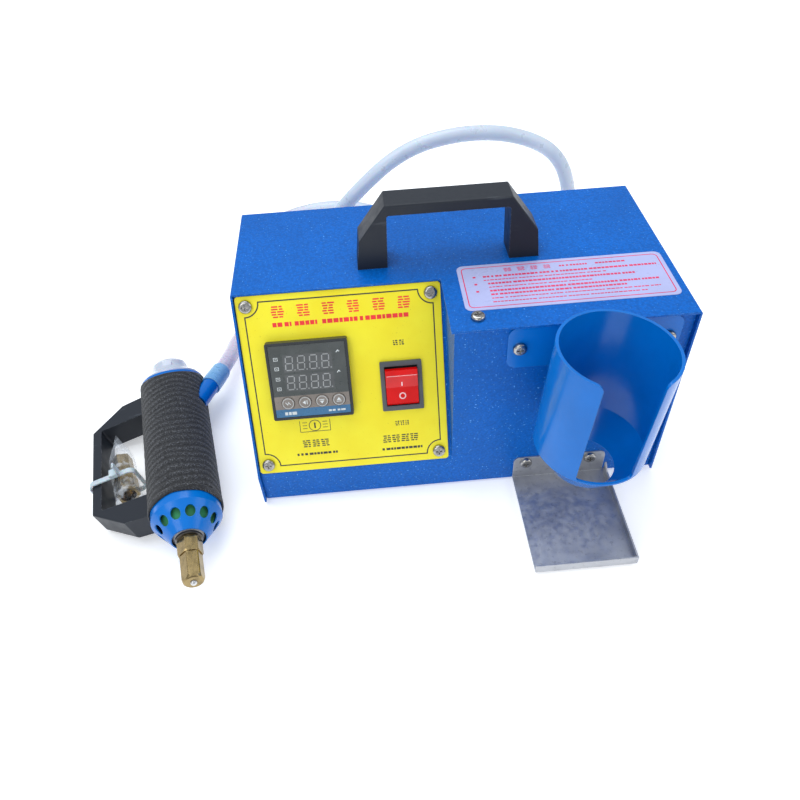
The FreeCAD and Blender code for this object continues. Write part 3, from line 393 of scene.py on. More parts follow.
def silicone():
    """Milky translucent hose: bluish white, faintly pink where it has been hot."""
    shader = Shader("silicone", (0.58, 0.66, 0.76), 0.3, Subsurface_Weight=0.25,
                    Subsurface_Scale=0.004, Transmission_Weight=0.12, IOR=1.41, Coat_Weight=0.12)
    cloud = shader.noise(45.0)
    tint = shader.mix(shader.ramp(cloud, (0.3, 0.0), (0.7, 1.0)), (0.52, 0.60, 0.71), (0.64, 0.71, 0.80))
    lead = shader.along((-1, 0, 0), -(DESIGN @ Vector((30.0, 0, 0))).x)
    pink = shader.math("MULTIPLY", lead, 22.0, clamp=True)
    tint = shader.mix(shader.math("MULTIPLY", pink, 0.75), tint, (0.66, 0.56, 0.68))
    shader.color(tint)
    shader.roughness(shader.noise(9.0), 0.24, 0.4)
    shader.bump(shader.noise(3.0, detail=3.0), 0.05, 0.5)
    return shader.material


def shrink_film():
    shader = Shader("shrink_film", (0.20, 0.46, 0.74), 0.3, Transmission_Weight=0.15, IOR=1.45)
    cloud = shader.noise(8.0)
    shader.color(shader.mix(shader.ramp(cloud, (0.3, 0.0), (0.7, 1.0)),
                            (0.17, 0.42, 0.72), (0.27, 0.52, 0.78)))
    shader.roughness(shader.noise(3.0), 0.22, 0.42)
    shader.bump(shader.noise(1.8, detail=4.0), 0.08, 0.7)
    return shader.material


def bag_film():
    """Thin clear film: nearly invisible face on, with a painted reflection that whitens it at glancing edges,
    and white at its folds.
    """
    shader = Shader("bag_film", (0.78, 0.84, 0.92), 0.14, IOR=1.5)
    # painted reflection: the film grows more opaque and pale towards glancing angles
    layer = shader.node("ShaderNodeLayerWeight")
    layer.inputs["Blend"].default_value = 0.28
    fold = shader.ramp(shader.noise(7.0, detail=3.0), (0.54, 0.0), (0.66, 0.30))
    alpha = shader.math("ADD", shader.math("MULTIPLY", layer.outputs["Facing"], 0.30), fold)
    shader.link(shader.math("ADD", alpha, 0.03, clamp=True), shader.bsdf.inputs["Alpha"])
    shader.roughness(shader.noise(4.0), 0.08, 0.24)
    shader.bump(shader.noise(2.6, detail=4.0), 0.25, 0.8)
    return shader.material


def face_sheet():
    """The controller's printed front: dark, with a taupe band for the keys and a blue one below."""
    shader = Shader("face_sheet", (0.06, 0.068, 0.066), 0.3, Coat_Weight=0.2)
    up = (SLOPE.to_3x3() @ Vector((0, 1, 0))).normalized()
    top = up.dot(SLOPE @ Vector((0, CTRL_T + CTRL_HALF, 0)))
    down = shader.math("SUBTRACT", top, shader.along(tuple(up)))
    cloud = shader.ramp(shader.noise(9.0), (0.3, 0.0), (0.7, 1.0))
    dark = shader.mix(cloud, (0.052, 0.060, 0.058), (0.072, 0.080, 0.078))
    taupe = shader.mix(cloud, (0.19, 0.165, 0.145), (0.24, 0.205, 0.18))
    blue = shader.mix(cloud, (0.035, 0.13, 0.26), (0.05, 0.17, 0.32))
    tint = shader.mix(shader.math("GREATER_THAN", down, 0.0330), dark, taupe)
    shader.color(shader.mix(shader.math("GREATER_THAN", down, 0.0412), tint, blue))
    shader.roughness(shader.noise(6.0), 0.24, 0.38)
    shader.bump(shader.noise(0.8, detail=2.0), 0.01, 0.5)
    return shader.material


PAINT = powder_coat()
GLOSS = smooth_paint()
BLACK = moulded_black()
CHROME = metal("plated_steel", (0.40, 0.39, 0.37), 0.2, 1.2, (1.0, 1.0, 1.0))
BRASS = metal("brass", (0.33, 0.245, 0.115), 0.22, 1.6, (1.0, 0.10, 1.0), stain=0.3)
STEEL = metal("bright_steel", (0.60, 0.60, 0.60), 0.25, 0.8, (1.0, 1.0, 1.0))
ZINC = zinc_sheet()
CLOTH = sleeve_cloth()
SILICONE = silicone()
CUFF = shrink_film()
FILM = bag_film()
BEZEL = grained("bezel_black", (0.022, 0.026, 0.029), 0.36).material
SWITCH_GREY = grained("switch_grey", (0.075, 0.085, 0.095), 0.4).material
ROCKER_RED = grained("rocker_red", (0.66, 0.004, 0.004), 0.2, grain=2.0, vary=0.08,
                     Specular_IOR_Level=0.3, Coat_Weight=0.15).material
WHITE = grained("white_plastic", (0.50, 0.54, 0.62), 0.18, grain=3.0, depth=0.03, vary=0.03,
                Subsurface_Weight=0.15, Subsurface_Scale=0.003, Coat_Weight=0.3).material
LABEL = grained("label_film", (0.40, 0.43, 0.70), 0.3, grain=2.0, depth=0.01, vary=0.03).material
INK_RED = grained("ink_red", (0.80, 0.03, 0.03), 0.35, grain=0.5, depth=0.004, edge=0).material
INK_PINK = grained("ink_crimson", (0.66, 0.02, 0.10), 0.35, grain=0.5, depth=0.004, edge=0).material
INK_BLACK = grained("ink_black", (0.03, 0.032, 0.03), 0.35, grain=0.5, depth=0.004, edge=0).material
INK_PALE = grained("ink_pale", (0.62, 0.66, 0.66), 0.3, grain=0.5, depth=0.004, edge=0).material
SEGMENT = grained("digit_segment", (0.30, 0.31, 0.31), 0.3, grain=0.5, depth=0.004, edge=0).material
WINDOW = grained("window_tint", (0.095, 0.10, 0.10), 0.12, grain=2.0, depth=0.004, edge=0).material
# Pale pink for the rocker's printed I and O, and for its painted glint line.
ROCKER_PRINT_AND_GLINT = grained("rocker_print_and_glint", (0.86, 0.62, 0.62), 0.3, grain=0.5, depth=0.004, edge=0).material
TIE = grained("tie_nylon", (0.66, 0.76, 0.82), 0.28, grain=1.0, vary=0.05, Transmission_Weight=0.3,
              Subsurface_Weight=0.2, Subsurface_Scale=0.002).material
KEY = grained("key_membrane", (0.20, 0.175, 0.155), 0.4, grain=0.6).material
RUBBER = grained("rubber", (0.018, 0.018, 0.019), 0.75, grain=0.5, depth=0.05).material
BOARD = grained("circuit_board", (0.012, 0.13, 0.04), 0.35).material
MODULE = grained("display_module", (0.05, 0.05, 0.05), 0.3).material
RELAY = grained("relay_plastic", (0.62, 0.61, 0.57), 0.45).material
GLASS_CLOTH = grained("glass_cloth", (0.02, 0.20, 0.075), 0.75, grain=0.8, depth=0.15, vary=0.3).material
# The barrel's colour is its dark alloy, darkened further as painted shade for the dark gap it is seen in.
BARREL_ALLOY_AND_SHADE = metal("barrel_alloy_and_shade", (0.20, 0.20, 0.21), 0.4, 0.7, (1.0, 1.0, 1.0))
MICA = grained("mica_band", (0.34, 0.31, 0.26), 0.4, 0.6, grain=1.2, depth=0.04).material

CAD_LOOKS = {
    PAINT: ("chassis", "cover"),
    GLOSS: ("cup_bracket", "gun_cup", "gun_housing"),
    yellow_film(): ("control_plate",),
    BLACK: ("carry_handle", "gun_handle", "hose_gland", "gland_nut", "power_inlet"),
    BEZEL: ("controller_case", "controller_clamp", "controller_terminals"),
    face_sheet(): ("controller_face",),
    KEY: ("key_set", "key_shift", "key_down", "key_up"),
    SWITCH_GREY: ("switch_body",),
    ROCKER_RED: ("switch_rocker",),
    CHROME: ("cover_screws", "carry_handle_screws", "control_plate_screws", "cup_screws", "tray_screws",
             "inlet_screws", "relay_screws", "gun_handle_screws"),
    BRASS: ("nozzle_nut", "nozzle_tip", "spare_nozzle", "switch_tabs"),
    STEEL: ("valve_pin", "thermocouple"),
    ZINC: ("drip_tray",),
    LABEL: ("instruction_label",),
    RUBBER: ("rubber_feet", "cap_seal"),
    BOARD: ("controller_board",),
    MODULE: ("controller_display",),
    RELAY: ("heater_relay", "terminal_strip"),
    GLASS_CLOTH: ("gun_insulation",),
    BARREL_ALLOY_AND_SHADE: ("glue_barrel",),
    MICA: ("barrel_heater",),
    WHITE: ("gun_cap",),
    TIE: ("cable_tie",),
}
for look, names in CAD_LOOKS.items():
    for name in names:
        for material_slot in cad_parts[name].material_slots:
            material_slot.material = look


# ================================================================ mesh helpers
def piece(name, verts, faces, material, body, at=DESIGN, smooth=True, replaces=()):
    """A mesh in its place, on a body, with a finish."""
    mesh = bpy.data.meshes.new(name)
    mesh.from_pydata([at @ Vector(v) for v in verts], [], faces)
    mesh.validate()
    mesh.polygons.foreach_set("use_smooth", [smooth] * len(mesh.polygons))
    mesh.materials.append(material)
    made = bpy.data.objects.new(name, mesh)
    bpy.context.collection.objects.link(made)
    if body:
        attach(made, body)
    if replaces:
        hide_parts(*replaces)
    return made


def tube(points, radius, sides):
    """Vertices and faces of a closed round tube along points."""
    verts, faces = [], []
    across = (points[1] - points[0]).orthogonal().normalized()
    for i, p in enumerate(points):
        ahead = points[min(i + 1, len(points) - 1)] - points[max(i - 1, 0)]
        ahead.normalize()
        across = (across - ahead * across.dot(ahead)).normalized()
        other = ahead.cross(across)
        for k in range(sides):
            a = math.tau * k / sides
            verts.append(p + (across * math.cos(a) + other * math.sin(a)) * radius)
    for i in range(len(points) - 1):
        for k in range(sides):
            n = (k + 1) % sides
            faces.append((i * sides + k, i * sides + n, (i + 1) * sides + n, (i + 1) * sides + k))
    faces.append(tuple(range(sides - 1, -1, -1)))
    last = (len(points) - 1) * sides
    faces.append(tuple(range(last, last + sides)))
    return verts, faces


def rings(count, sides, point, keep=lambda i, k: True):
    """A grid of rings: point(i, k) gives each place, and keep says which faces are there."""
    verts = [point(i, k) for i in range(count) for k in range(sides)]
    faces = []
    for i in range(count - 1):
        for k in range(sides):
            if keep(i, k):
                n = (k + 1) % sides
                faces.append((i * sides + k, i * sides + n, (i + 1) * sides + n, (i + 1) * sides + k))
    return verts, faces


class Ink:
    """Thin raised marks on a plane, drawn with strokes of a given width."""

    def __init__(self, base=0.0, rise=0.05):
        self.verts, self.faces, self.base, self.rise = [], [], base, rise

    def stroke(self, points, width, closed=False):
        count = len(points)
        flat = [Vector(p) for p in points]
        start = len(self.verts)
        for i, p in enumerate(flat):
            before = flat[i - 1] if closed or i else None
            after = flat[(i + 1) % count] if closed or i < count - 1 else None
            a = (p - before).normalized() if before is not None else None
            b = (after - p).normalized() if after is not None else None
            a, b = a or b, b or a
            mid = (a + b).normalized()
            side = Vector((-mid.y, mid.x)) * (width / 2 / max(0.35, mid.dot(a)))
            for q in (p + side, p - side):
                self.verts += [(q.x, q.y, self.base), (q.x, q.y, self.base + self.rise)]
        for i in range(count if closed else count - 1):
            a, b = start + 4 * i, start + 4 * ((i + 1) % count)
            self.faces += [(a + 1, a + 3, b + 3, b + 1), (a, b, b + 2, a + 2),
                           (a, a + 1, b + 1, b), (a + 2, b + 2, b + 3, a + 3)]
        if not closed:
            last = start + 4 * (count - 1)
            self.faces += [(start, start + 2, start + 3, start + 1), (last, last + 1, last + 3, last + 2)]

    def ring(self, u, v, radius, width, sides=28):
        turns = [math.tau * k / sides for k in range(sides)]
        self.stroke([(u + radius * math.cos(a), v + radius * math.sin(a)) for a in turns], width, True)

    def area(self, points):
        start, count = len(self.verts), len(points)
        for z in (self.base, self.base + self.rise):
            self.verts += [(u, v, z) for u, v in points]
        self.faces.append(tuple(range(start + count - 1, start - 1, -1)))
        self.faces.append(tuple(range(start + count, start + 2 * count)))
        for i in range(count):
            n = (i + 1) % count
            self.faces.append((start + i, start + n, start + count + n, start + count + i))

    def block(self, u0, u1, v0, v1):
        self.area([(u0, v0), (u1, v0), (u1, v1), (u0, v1)])

    def dashes(self, draw, u0, u1, v, height, letter, gap=0.45):
        """A line of greeked text: short dashes of uneven length."""
        u = u0
        while u < u1 - letter * 0.4:
            length = min(letter * draw.uniform(0.7, 1.5), u1 - u)
            self.block(u, u + length, v - height / 2, v + height / 2)
            u += length + gap * (2.4 if draw.random() < 0.12 else 1.0)

    def glyph(self, draw, u0, u1, v0, v1, width, rows=4):
        """A greeked large character: a few bars of uneven length."""
        for i in range(rows):
            v = v0 + (v1 - v0) * (i + 0.5) / rows
            left = u0 + (u1 - u0) * draw.uniform(0.0, 0.14)
            right = u1 - (u1 - u0) * draw.uniform(0.0, 0.14)
            split = left + (right - left) * draw.uniform(0.35, 0.65)
            self.stroke([(left, v), (split - width * 0.4, v)], width)
            self.stroke([(split + width * 0.4, v), (right, v)], width)

    def finish(self, name, material, body, at):
        return piece(name, self.verts, self.faces, material, body, at, smooth=False)


# ================================================================ hose
HOSE_R = 5.75
HOSE_FLOOR = FLOOR_Z + HOSE_R + 0.2
HOSE_MIN_STEP = 0.6                     # closer points of the route are left out
HOSE_START = (240.0, 152.0, 13.0)
HOSE_AIR = [
    (240, 184, 13), (245, 222, 30), (253, 240, 63), (240, 246, 98), (204, 241, 119), (160, 234, 127),
    (114, 226, 121), (75, 218, 93), (44, 216, 58), (8, 232, 30), (-20, 264, 12),
]
HOSE_LAID = [
    (-24, 306), (2, 343), (46, 357), (90, 343), (116, 306), (116, 260), (90, 223), (48, 209),
    (16, 204), (-11, 188), (-29, 161),
]


def hose_line():
    """The hose's middle line, read from its NURBS route."""
    last = [GUN_IN_DESIGN @ (STUB_START + STUB_DIR * d) for d in (STUB_LEN + 24, STUB_LEN + 0.05)]
    route = [HOSE_START, *HOSE_AIR, *[(x, y, HOSE_FLOOR) for x, y in HOSE_LAID], *last]
    curve = bpy.data.curves.new("hose_route", "CURVE")
    curve.dimensions = "3D"
    curve.resolution_u = 24
    spline = curve.splines.new("NURBS")
    spline.points.add(len(route) - 1)
    for point, at in zip(spline.points, route):
        point.co = (*(DESIGN @ Vector(at)), 1)
    spline.order_u = 3
    spline.use_endpoint_u = True
    holder = bpy.data.objects.new("hose_route", curve)
    mesh = bpy.data.meshes.new_from_object(holder)
    points = [v.co.copy() for v in mesh.vertices]
    bpy.data.objects.remove(holder)
    if (points[0] - DESIGN @ Vector(HOSE_START)).length > (points[-1] - DESIGN @ Vector(HOSE_START)).length:
        points.reverse()
    spread = [points[0]]
    for point in points[1:]:
        if (point - spread[-1]).length > HOSE_MIN_STEP * MM:
            spread.append(point)
    return spread


hose_path = hose_line()
hose_verts, hose_faces = tube(hose_path, HOSE_R * MM, 28)
hose = piece("hose", hose_verts, hose_faces, SILICONE, None, Matrix.Identity(4),
             replaces=("glue_hose",))
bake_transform(hose)

# ================================================================ the gun's soft pieces
draw = random.Random(7)
SLEEVE_SPAN = (-77.0, 42.0)
SLEEVE_R = 21.6
SLEEVE_RINGS, SLEEVE_SIDES = 300, 180
HEM = 4.5
WAVY_EDGE = 20.0
HANDLE_LEG_X = (35.8, 53.2)
HANDLE_LEG_HALF = 8.8
GUN_HANDLE_X = -12.0
STUB_R = 6.2


def sleeve_back(angle):
    """Where the sleeve's slanted back edge is, along the gun's axis."""
    return SLEEVE_SPAN[0] + math.tan(REAR_SLANT) * SLEEVE_R * math.sin(angle + GUN_ROLL)


def sleeve_place(i, k):
    angle = math.tau * k / SLEEVE_SIDES
    back = sleeve_back(angle)
    return back + (SLEEVE_SPAN[1] - back) * i / (SLEEVE_RINGS - 1), angle


def sleeve_rib(x, angle):
    """How far the cloth stands out, from -1 to 1: wavy, slightly slanted ribs."""
    slow = noise.noise((x * 0.06, math.cos(angle) * 1.3, math.sin(angle) * 1.3))
    drift = 2.4 * math.sin(angle + 0.6) + 1.9 * slow
    small = noise.noise((x * 0.35, math.cos(angle) * 9, math.sin(angle) * 9))
    return 0.75 * math.sin(math.tau * (x + 1.4 * drift) / 4.9) + 0.45 * small


def sleeve_point(i, k):
    x, angle = sleeve_place(i, k)
    from_front = max(0.0, SLEEVE_SPAN[1] - x)
    rib = sleeve_rib(x, angle) * min(1.0, from_front / 3, (x - sleeve_back(angle)) / 2 + 0.2)
    radius = SLEEVE_R + 0.2 * rib
    if from_front < HEM:
        radius += 0.35 * max(0.0, math.sin(math.pi * min(1.0, from_front / HEM))) ** 0.5
        radius -= 0.5 * max(0.0, 1 - abs(from_front - HEM) / 0.6)
    radius = min(radius, 21.98)
    edge_wave = 0.35 * math.sin(3 * angle + 1) + 0.25 * math.sin(7 * angle)
    if i == 0 or i == SLEEVE_RINGS - 1:
        radius -= 0.35
    return (x + edge_wave * max(0.0, 1 - from_front / WAVY_EDGE), radius * math.cos(angle),
            radius * math.sin(angle))


def clear_of_legs(i, k):
    """False where the handle's legs or the stub pass through the sleeve."""
    x, y, z = sleeve_point(i, k)
    if y < 0 and abs(z) < HANDLE_LEG_HALF - 0.6:
        if any(HANDLE_LEG_X[0] + 0.6 < side * (x - GUN_HANDLE_X) < HANDLE_LEG_X[1] - 0.6 for side in (-1, 1)):
            return False
    apart = Vector((x, y, z)) - STUB_START
    off_axis = (apart - STUB_DIR * apart.dot(STUB_DIR)).length
    return not (apart.dot(STUB_DIR) > -2 and off_axis < STUB_R + 0.5)


sleeve_verts, sleeve_faces = rings(SLEEVE_RINGS, SLEEVE_SIDES, sleeve_point, keep=clear_of_legs)
sleeve = piece("gun_sleeve_cloth", sleeve_verts, sleeve_faces, CLOTH, None, GUN,
               replaces=("gun_sleeve",))
cloth_uv = sleeve.data.uv_layers.new(name="cloth")
around_len = math.tau * SLEEVE_R * MM
for loop in sleeve.data.loops:
    ring, side = divmod(loop.vertex_index, SLEEVE_SIDES)
    cloth_uv.data[loop.index].uv = (side / SLEEVE_SIDES * around_len,
                                    (sleeve_place(ring, side)[0] - SLEEVE_SPAN[0]) * MM)
for polygon in sleeve.data.polygons:
    if any(sleeve.data.loops[n].vertex_index % SLEEVE_SIDES == 0 for n in polygon.loop_indices):
        for n in polygon.loop_indices:
            if sleeve.data.loops[n].vertex_index % SLEEVE_SIDES == 0 and any(
                    sleeve.data.loops[m].vertex_index % SLEEVE_SIDES == SLEEVE_SIDES - 1
                    for m in polygon.loop_indices):
                cloth_uv.data[n].uv.x = around_len
# the rib height per point, which the cloth uses to paint shade into the rib valleys
crest = sleeve.data.attributes.new("crest", "FLOAT", "POINT")
for vertex in sleeve.data.vertices:
    ring, side = divmod(vertex.index, SLEEVE_SIDES)
    crest.data[vertex.index].value = 0.5 + 0.6 * sleeve_rib(*sleeve_place(ring, side))
thickness = sleeve.modifiers.new("thickness", "SOLIDIFY")
thickness.thickness = 0.45 * MM
thickness.offset = 1.0
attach(sleeve, "gun")

# a line of stitches round the hem
stitch_verts, stitch_faces = [], []
STITCHES = 92
for n in range(STITCHES):
    a0, a1 = (math.tau * (n + f) / STITCHES for f in (0.14, 0.86))
    line = []
    for f in (0.0, 0.25, 0.5, 0.75, 1.0):
        a = a0 + (a1 - a0) * f
        radius = 21.72 + 0.18 * math.sin(math.pi * f)
        line.append(Vector((SLEEVE_SPAN[1] - HEM + 0.1 * math.sin(5 * a), radius * math.cos(a),
                            radius * math.sin(a))))
    v, f = tube(line, 0.16, 6)
    stitch_faces += [tuple(i + len(stitch_verts) for i in face) for face in f]
    stitch_verts += v
piece("sleeve_stitches", stitch_verts, stitch_faces, CLOTH, "gun", GUN)

# shrink cuff over the stub's end and the hose's start
stub_side = STUB_DIR.orthogonal().normalized()
stub_other = STUB_DIR.cross(stub_side)
CUFF_PROFILE = [(21.0, 6.28), (21.0, 7.0), (21.8, 7.15), (27.0, 7.15), (32.0, 7.05), (36.5, 6.9), (40.2, 6.85),
                (41.0, 6.65), (41.0, 6.28)]
CUFF_CLEAR = 22.2
CUFF_SIDES = 60
CUFF_STEPS = 6                          # rings between two places in the profile


def cuff_point(i, k):
    """A point of the cuff, which starts where it clears the sleeve."""
    part = i // CUFF_STEPS
    last = len(CUFF_PROFILE) - 1
    (d0, r0), (d1, r1) = CUFF_PROFILE[min(part, last)], CUFF_PROFILE[min(part + 1, last)]
    f = (i % CUFF_STEPS) / CUFF_STEPS
    d, r = d0 + (d1 - d0) * f, r0 + (r1 - r0) * f
    a = math.tau * k / CUFF_SIDES
    if r > 6.5:
        r += 0.10 * noise.noise((d * 0.5, math.cos(a) * 2.4, math.sin(a) * 2.4)) + 0.05 * math.sin(9 * a + d)
    across = (stub_side * math.cos(a) + stub_other * math.sin(a)) * r
    start = CUFF_PROFILE[0][0]
    while math.hypot(*(STUB_START + STUB_DIR * start + across).yz) < CUFF_CLEAR:
        start += 0.1
    length = CUFF_PROFILE[-1][0] - CUFF_PROFILE[0][0]
    d = start + (d - CUFF_PROFILE[0][0]) * (CUFF_PROFILE[-1][0] - start) / length
    return STUB_START + STUB_DIR * d + across


cuff_verts, cuff_faces = rings((len(CUFF_PROFILE) - 1) * CUFF_STEPS + 1, CUFF_SIDES, cuff_point)
last_ring = (len(CUFF_PROFILE) - 1) * CUFF_STEPS * CUFF_SIDES
for k in range(CUFF_SIDES):
    n = (k + 1) % CUFF_SIDES
    cuff_faces.append((last_ring + k, last_ring + n, n, k))
piece("cuff", cuff_verts, cuff_faces, CUFF, "gun", GUN, replaces=("hose_cuff",))

# the clear bag round the spare nozzle
SPARE_AT = Vector((-16.0, -39.6, 0.0))
SPARE_TURN = math.radians(7.0)
BAG_STATIONS = [(-31.0, 0.5, 0.4), (-27.0, 1.6, 1.1), (-21.0, 3.4, 2.4), (-14.0, 5.9, 5.0), (-6.5, 7.7, 7.3),
                (4.0, 8.1, 8.0), (16.0, 8.3, 8.2), (28.0, 8.3, 8.1), (31.0, 8.4, 5.2), (34.0, 8.7, 1.6),
                (35.5, 8.8, 0.5)]
BAG_RINGS, BAG_SIDES = 96, 56


def bag_point(i, k):
    x = BAG_STATIONS[0][0] + (BAG_STATIONS[-1][0] - BAG_STATIONS[0][0]) * i / (BAG_RINGS - 1)
    for (x0, a0, b0), (x1, a1, b1) in zip(BAG_STATIONS, BAG_STATIONS[1:]):
        if x0 <= x <= x1 + 1e-6:
            f = (x - x0) / (x1 - x0)
            half_y, half_z = a0 + (a1 - a0) * f, b0 + (b1 - b0) * f
            break
    angle = math.tau * k / BAG_SIDES
    place = Vector((x * 0.16, math.cos(angle) * 1.6, math.sin(angle) * 1.6))
    crumple = abs(noise.noise(place)) * 2.2 + abs(noise.noise(place * 2.3)) * 1.0 - 0.7
    grow = 1 + 0.075 * max(-0.4, min(0.6, crumple))
    bend = 0.035 * max(0.0, -x - 8) ** 1.35
    local = Vector((x, half_y * grow * math.cos(angle) - 0.3 * bend, half_z * grow * math.sin(angle)))
    return SPARE_AT + Matrix.Rotation(SPARE_TURN, 3, "Z") @ local


bag_verts, bag_faces = rings(BAG_RINGS, BAG_SIDES, bag_point)
bag_faces += [tuple(range(BAG_SIDES - 1, -1, -1)),
              tuple(range((BAG_RINGS - 1) * BAG_SIDES, BAG_RINGS * BAG_SIDES))]
piece("nozzle_bag", bag_verts, bag_faces, FILM, "gun", GUN, smooth=False,
      replaces=("spare_bag",))

# the valve's spring
SPRING_SPAN = (73.4, 82.6)
SPRING_TURNS = 7
spring_line = []
for n in range(SPRING_TURNS * 24 + 1):
    a = math.tau * n / 24
    x = SPRING_SPAN[0] + (SPRING_SPAN[1] - SPRING_SPAN[0]) * n / (SPRING_TURNS * 24)
    spring_line.append(Vector((x, 2.6 * math.cos(a), 2.6 * math.sin(a))))
spring_verts, spring_faces = tube(spring_line, 0.32, 10)
spring = piece("spring_coil", spring_verts, spring_faces, STEEL, "gun", GUN,
               replaces=("valve_spring",))
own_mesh(spring)

# ================================================================ printed marks
# the yellow plate: distances v are down the slope from its top edge
PLATE_FRONT = 1.0


def up(v):
    return SLOPE_LEN - v


def arc(u, t, radius, start, end, steps=9):
    turns = [math.radians(start + (end - start) * n / (steps - 1)) for n in range(steps)]
    return [(u + radius * math.cos(a), t + radius * math.sin(a)) for a in turns]


BORDER_U, BORDER_V = (6.3, 115.2), (6.6, 110.6)
NOTCH = 8.6
border = Ink(PLATE_FRONT)
corners = [(BORDER_U[0], up(BORDER_V[0]), 0, -90), (BORDER_U[0], up(BORDER_V[1]), 90, 0),
           (BORDER_U[1], up(BORDER_V[1]), 180, 90), (BORDER_U[1], up(BORDER_V[0]), 270, 180)]
outline = []
for u, t, start, end in corners:
    outline += arc(u, t, NOTCH, start, end)
border.stroke(outline, 0.75, True)
for u0, u1 in ((90.3, 93.1), (93.9, 96.8)):
    border.glyph(draw, u0, u1, up(38.9), up(35.4), 0.75, rows=3)
for u0, u1 in ((88.1, 90.6), (91.2, 93.5), (94.1, 96.5)):
    border.glyph(draw, u0, u1, up(90.3), up(86.9), 0.75, rows=3)
for u0, u1, v0, v1, count in ((30.2, 47.2, 94.6, 99.8, 3), (79.7, 102.2, 95.9, 101.3, 4)):
    pitch = (u1 - u0) / count
    for n in range(count):
        border.glyph(draw, u0 + n * pitch, u0 + (n + 1) * pitch - 0.7, up(v1), up(v0), 0.72, rows=4)
border.dashes(draw, 26.0, 51.0, up(104.2), 1.5, 1.7)
border.dashes(draw, 78.8, 103.8, up(105.5), 1.5, 1.7)
# a small dial mark under the controller
DIAL = (38.9, up(85.4))
border.ring(*DIAL, 3.5, 0.4)
border.stroke([(DIAL[0], DIAL[1] - 1.9), (DIAL[0], DIAL[1] + 1.9)], 0.9)
border.stroke([(29.8, up(81.9)), (29.8, up(89.3)), (48.2, up(89.3)), (48.2, up(81.9))], 0.35)
for n in range(3):
    level = up(83.2 + 1.9 * n)
    border.stroke([(31.4, level), (34.2, level)], 0.35)
    border.stroke([(43.6, level), (46.6, level)], 0.35)
border.finish("plate_marks_black", INK_BLACK, "base", SLOPE)

title = Ink(PLATE_FRONT)
for u0, u1 in ((21.6, 29.1), (36.3, 43.9), (50.8, 58.3), (65.3, 72.9), (79.9, 87.4), (94.2, 102.0)):
    title.glyph(draw, u0, u1, up(17.0), up(9.4), 0.85, rows=5)
for u0, u1 in ((21.5, 32.5), (34.4, 47.4), (50.3, 101.6)):
    title.dashes(draw, u0, u1, up(20.8), 2.6, 2.1, gap=0.55)
title.finish("plate_marks_red", INK_RED, "base", SLOPE)

# the label on the cover: x to the right, y to the back
LABEL_X, LABEL_Y, LABEL_TOP = (130.0, 249.4), (13.4, 55.0), BOX_H + 0.25
label = Ink(LABEL_TOP)
inset, round_r = 2.6, 2.6
label_outline = []
for x, y, start, end in ((LABEL_X[1] - inset - round_r, LABEL_Y[1] - inset - round_r, 0, 90),
                         (LABEL_X[0] + inset + round_r, LABEL_Y[1] - inset - round_r, 90, 180),
                         (LABEL_X[0] + inset + round_r, LABEL_Y[0] + inset + round_r, 180, 270),
                         (LABEL_X[1] - inset - round_r, LABEL_Y[0] + inset + round_r, 270, 360)):
    label_outline += arc(x, y, round_r, start, end)
label.stroke(label_outline, 0.55, True)
for n in range(4):
    label.glyph(draw, 157.0 + 7.6 * n, 161.4 + 7.6 * n, 46.6, 50.4, 0.5, rows=4)
label.dashes(draw, 189.0, 206.0, 48.2, 1.3, 1.5)
label.dashes(draw, 210.0, 228.0, 48.2, 1.3, 1.5)
LABEL_ROWS = [(144.0, 244.0, 1.5), (144.0, 214.0, 0.8), (146.0, 230.0, 1.5), (146.0, 205.0, 0.8),
              (146.0, 242.0, 1.5), (146.0, 222.0, 1.4), (146.0, 240.0, 0.8), (146.0, 232.0, 0.8)]
for n, (x0, x1, tall) in enumerate(LABEL_ROWS):
    label.dashes(draw, x0, x1, 43.2 - 3.35 * n, tall, 1.5)
for y in (43.2, 36.5, 29.8):
    label.block(138.2, 139.8, y - 0.7, y + 0.7)
label.finish("label_marks", INK_PINK, "base", DESIGN)

# ---------------------------------------------------------------- controller front
FACE_FRONT = 5.8
KEY_FRONT = 6.5


def on_face(dx, dy):
    """A place on the controller, from its bezel's top left corner."""
    return CTRL_U - CTRL_HALF + dx, CTRL_T + CTRL_HALF - dy


def digit(ink, dx, dy, width, height, stroke_w):
    """A seven-segment 8, leaning a little, with its point."""
    def at(fx, fy):
        return on_face(dx - width / 2 + width * fx + (1 - fy) * 0.55, dy + height * fy)
    g = 0.10
    lines = [((g, 0), (1 - g, 0)), ((g, 0.5), (1 - g, 0.5)), ((g, 1), (1 - g, 1)),
             ((0, 0.06), (0, 0.44)), ((1, 0.06), (1, 0.44)), ((0, 0.56), (0, 0.94)), ((1, 0.56), (1, 0.94))]
    for a, b in lines:
        ink.stroke([at(*a), at(*b)], stroke_w)
    u, t = at(1.33, 1.0)
    ink.block(u - 0.35, u + 0.35, t - 0.35, t + 0.35)


windows = Ink(FACE_FRONT, 0.02)
for top, bottom in ((7.4, 18.2), (19.5, 30.1)):
    u0, t0 = on_face(9.6, bottom)
    u1, t1 = on_face(38.4, top)
    windows.block(u0, u1, t0, t1)
windows.finish("display_windows", WINDOW, "base", SLOPE)
segments = Ink(FACE_FRONT + 0.02)
for n in range(4):
    digit(segments, 12.8 + 7.07 * n, 8.6, 4.0, 8.3, 0.62)
    digit(segments, 12.6 + 7.0 * n, 20.7, 4.0, 8.2, 0.62)
segments.finish("display_digits", SEGMENT, "base", SLOPE)

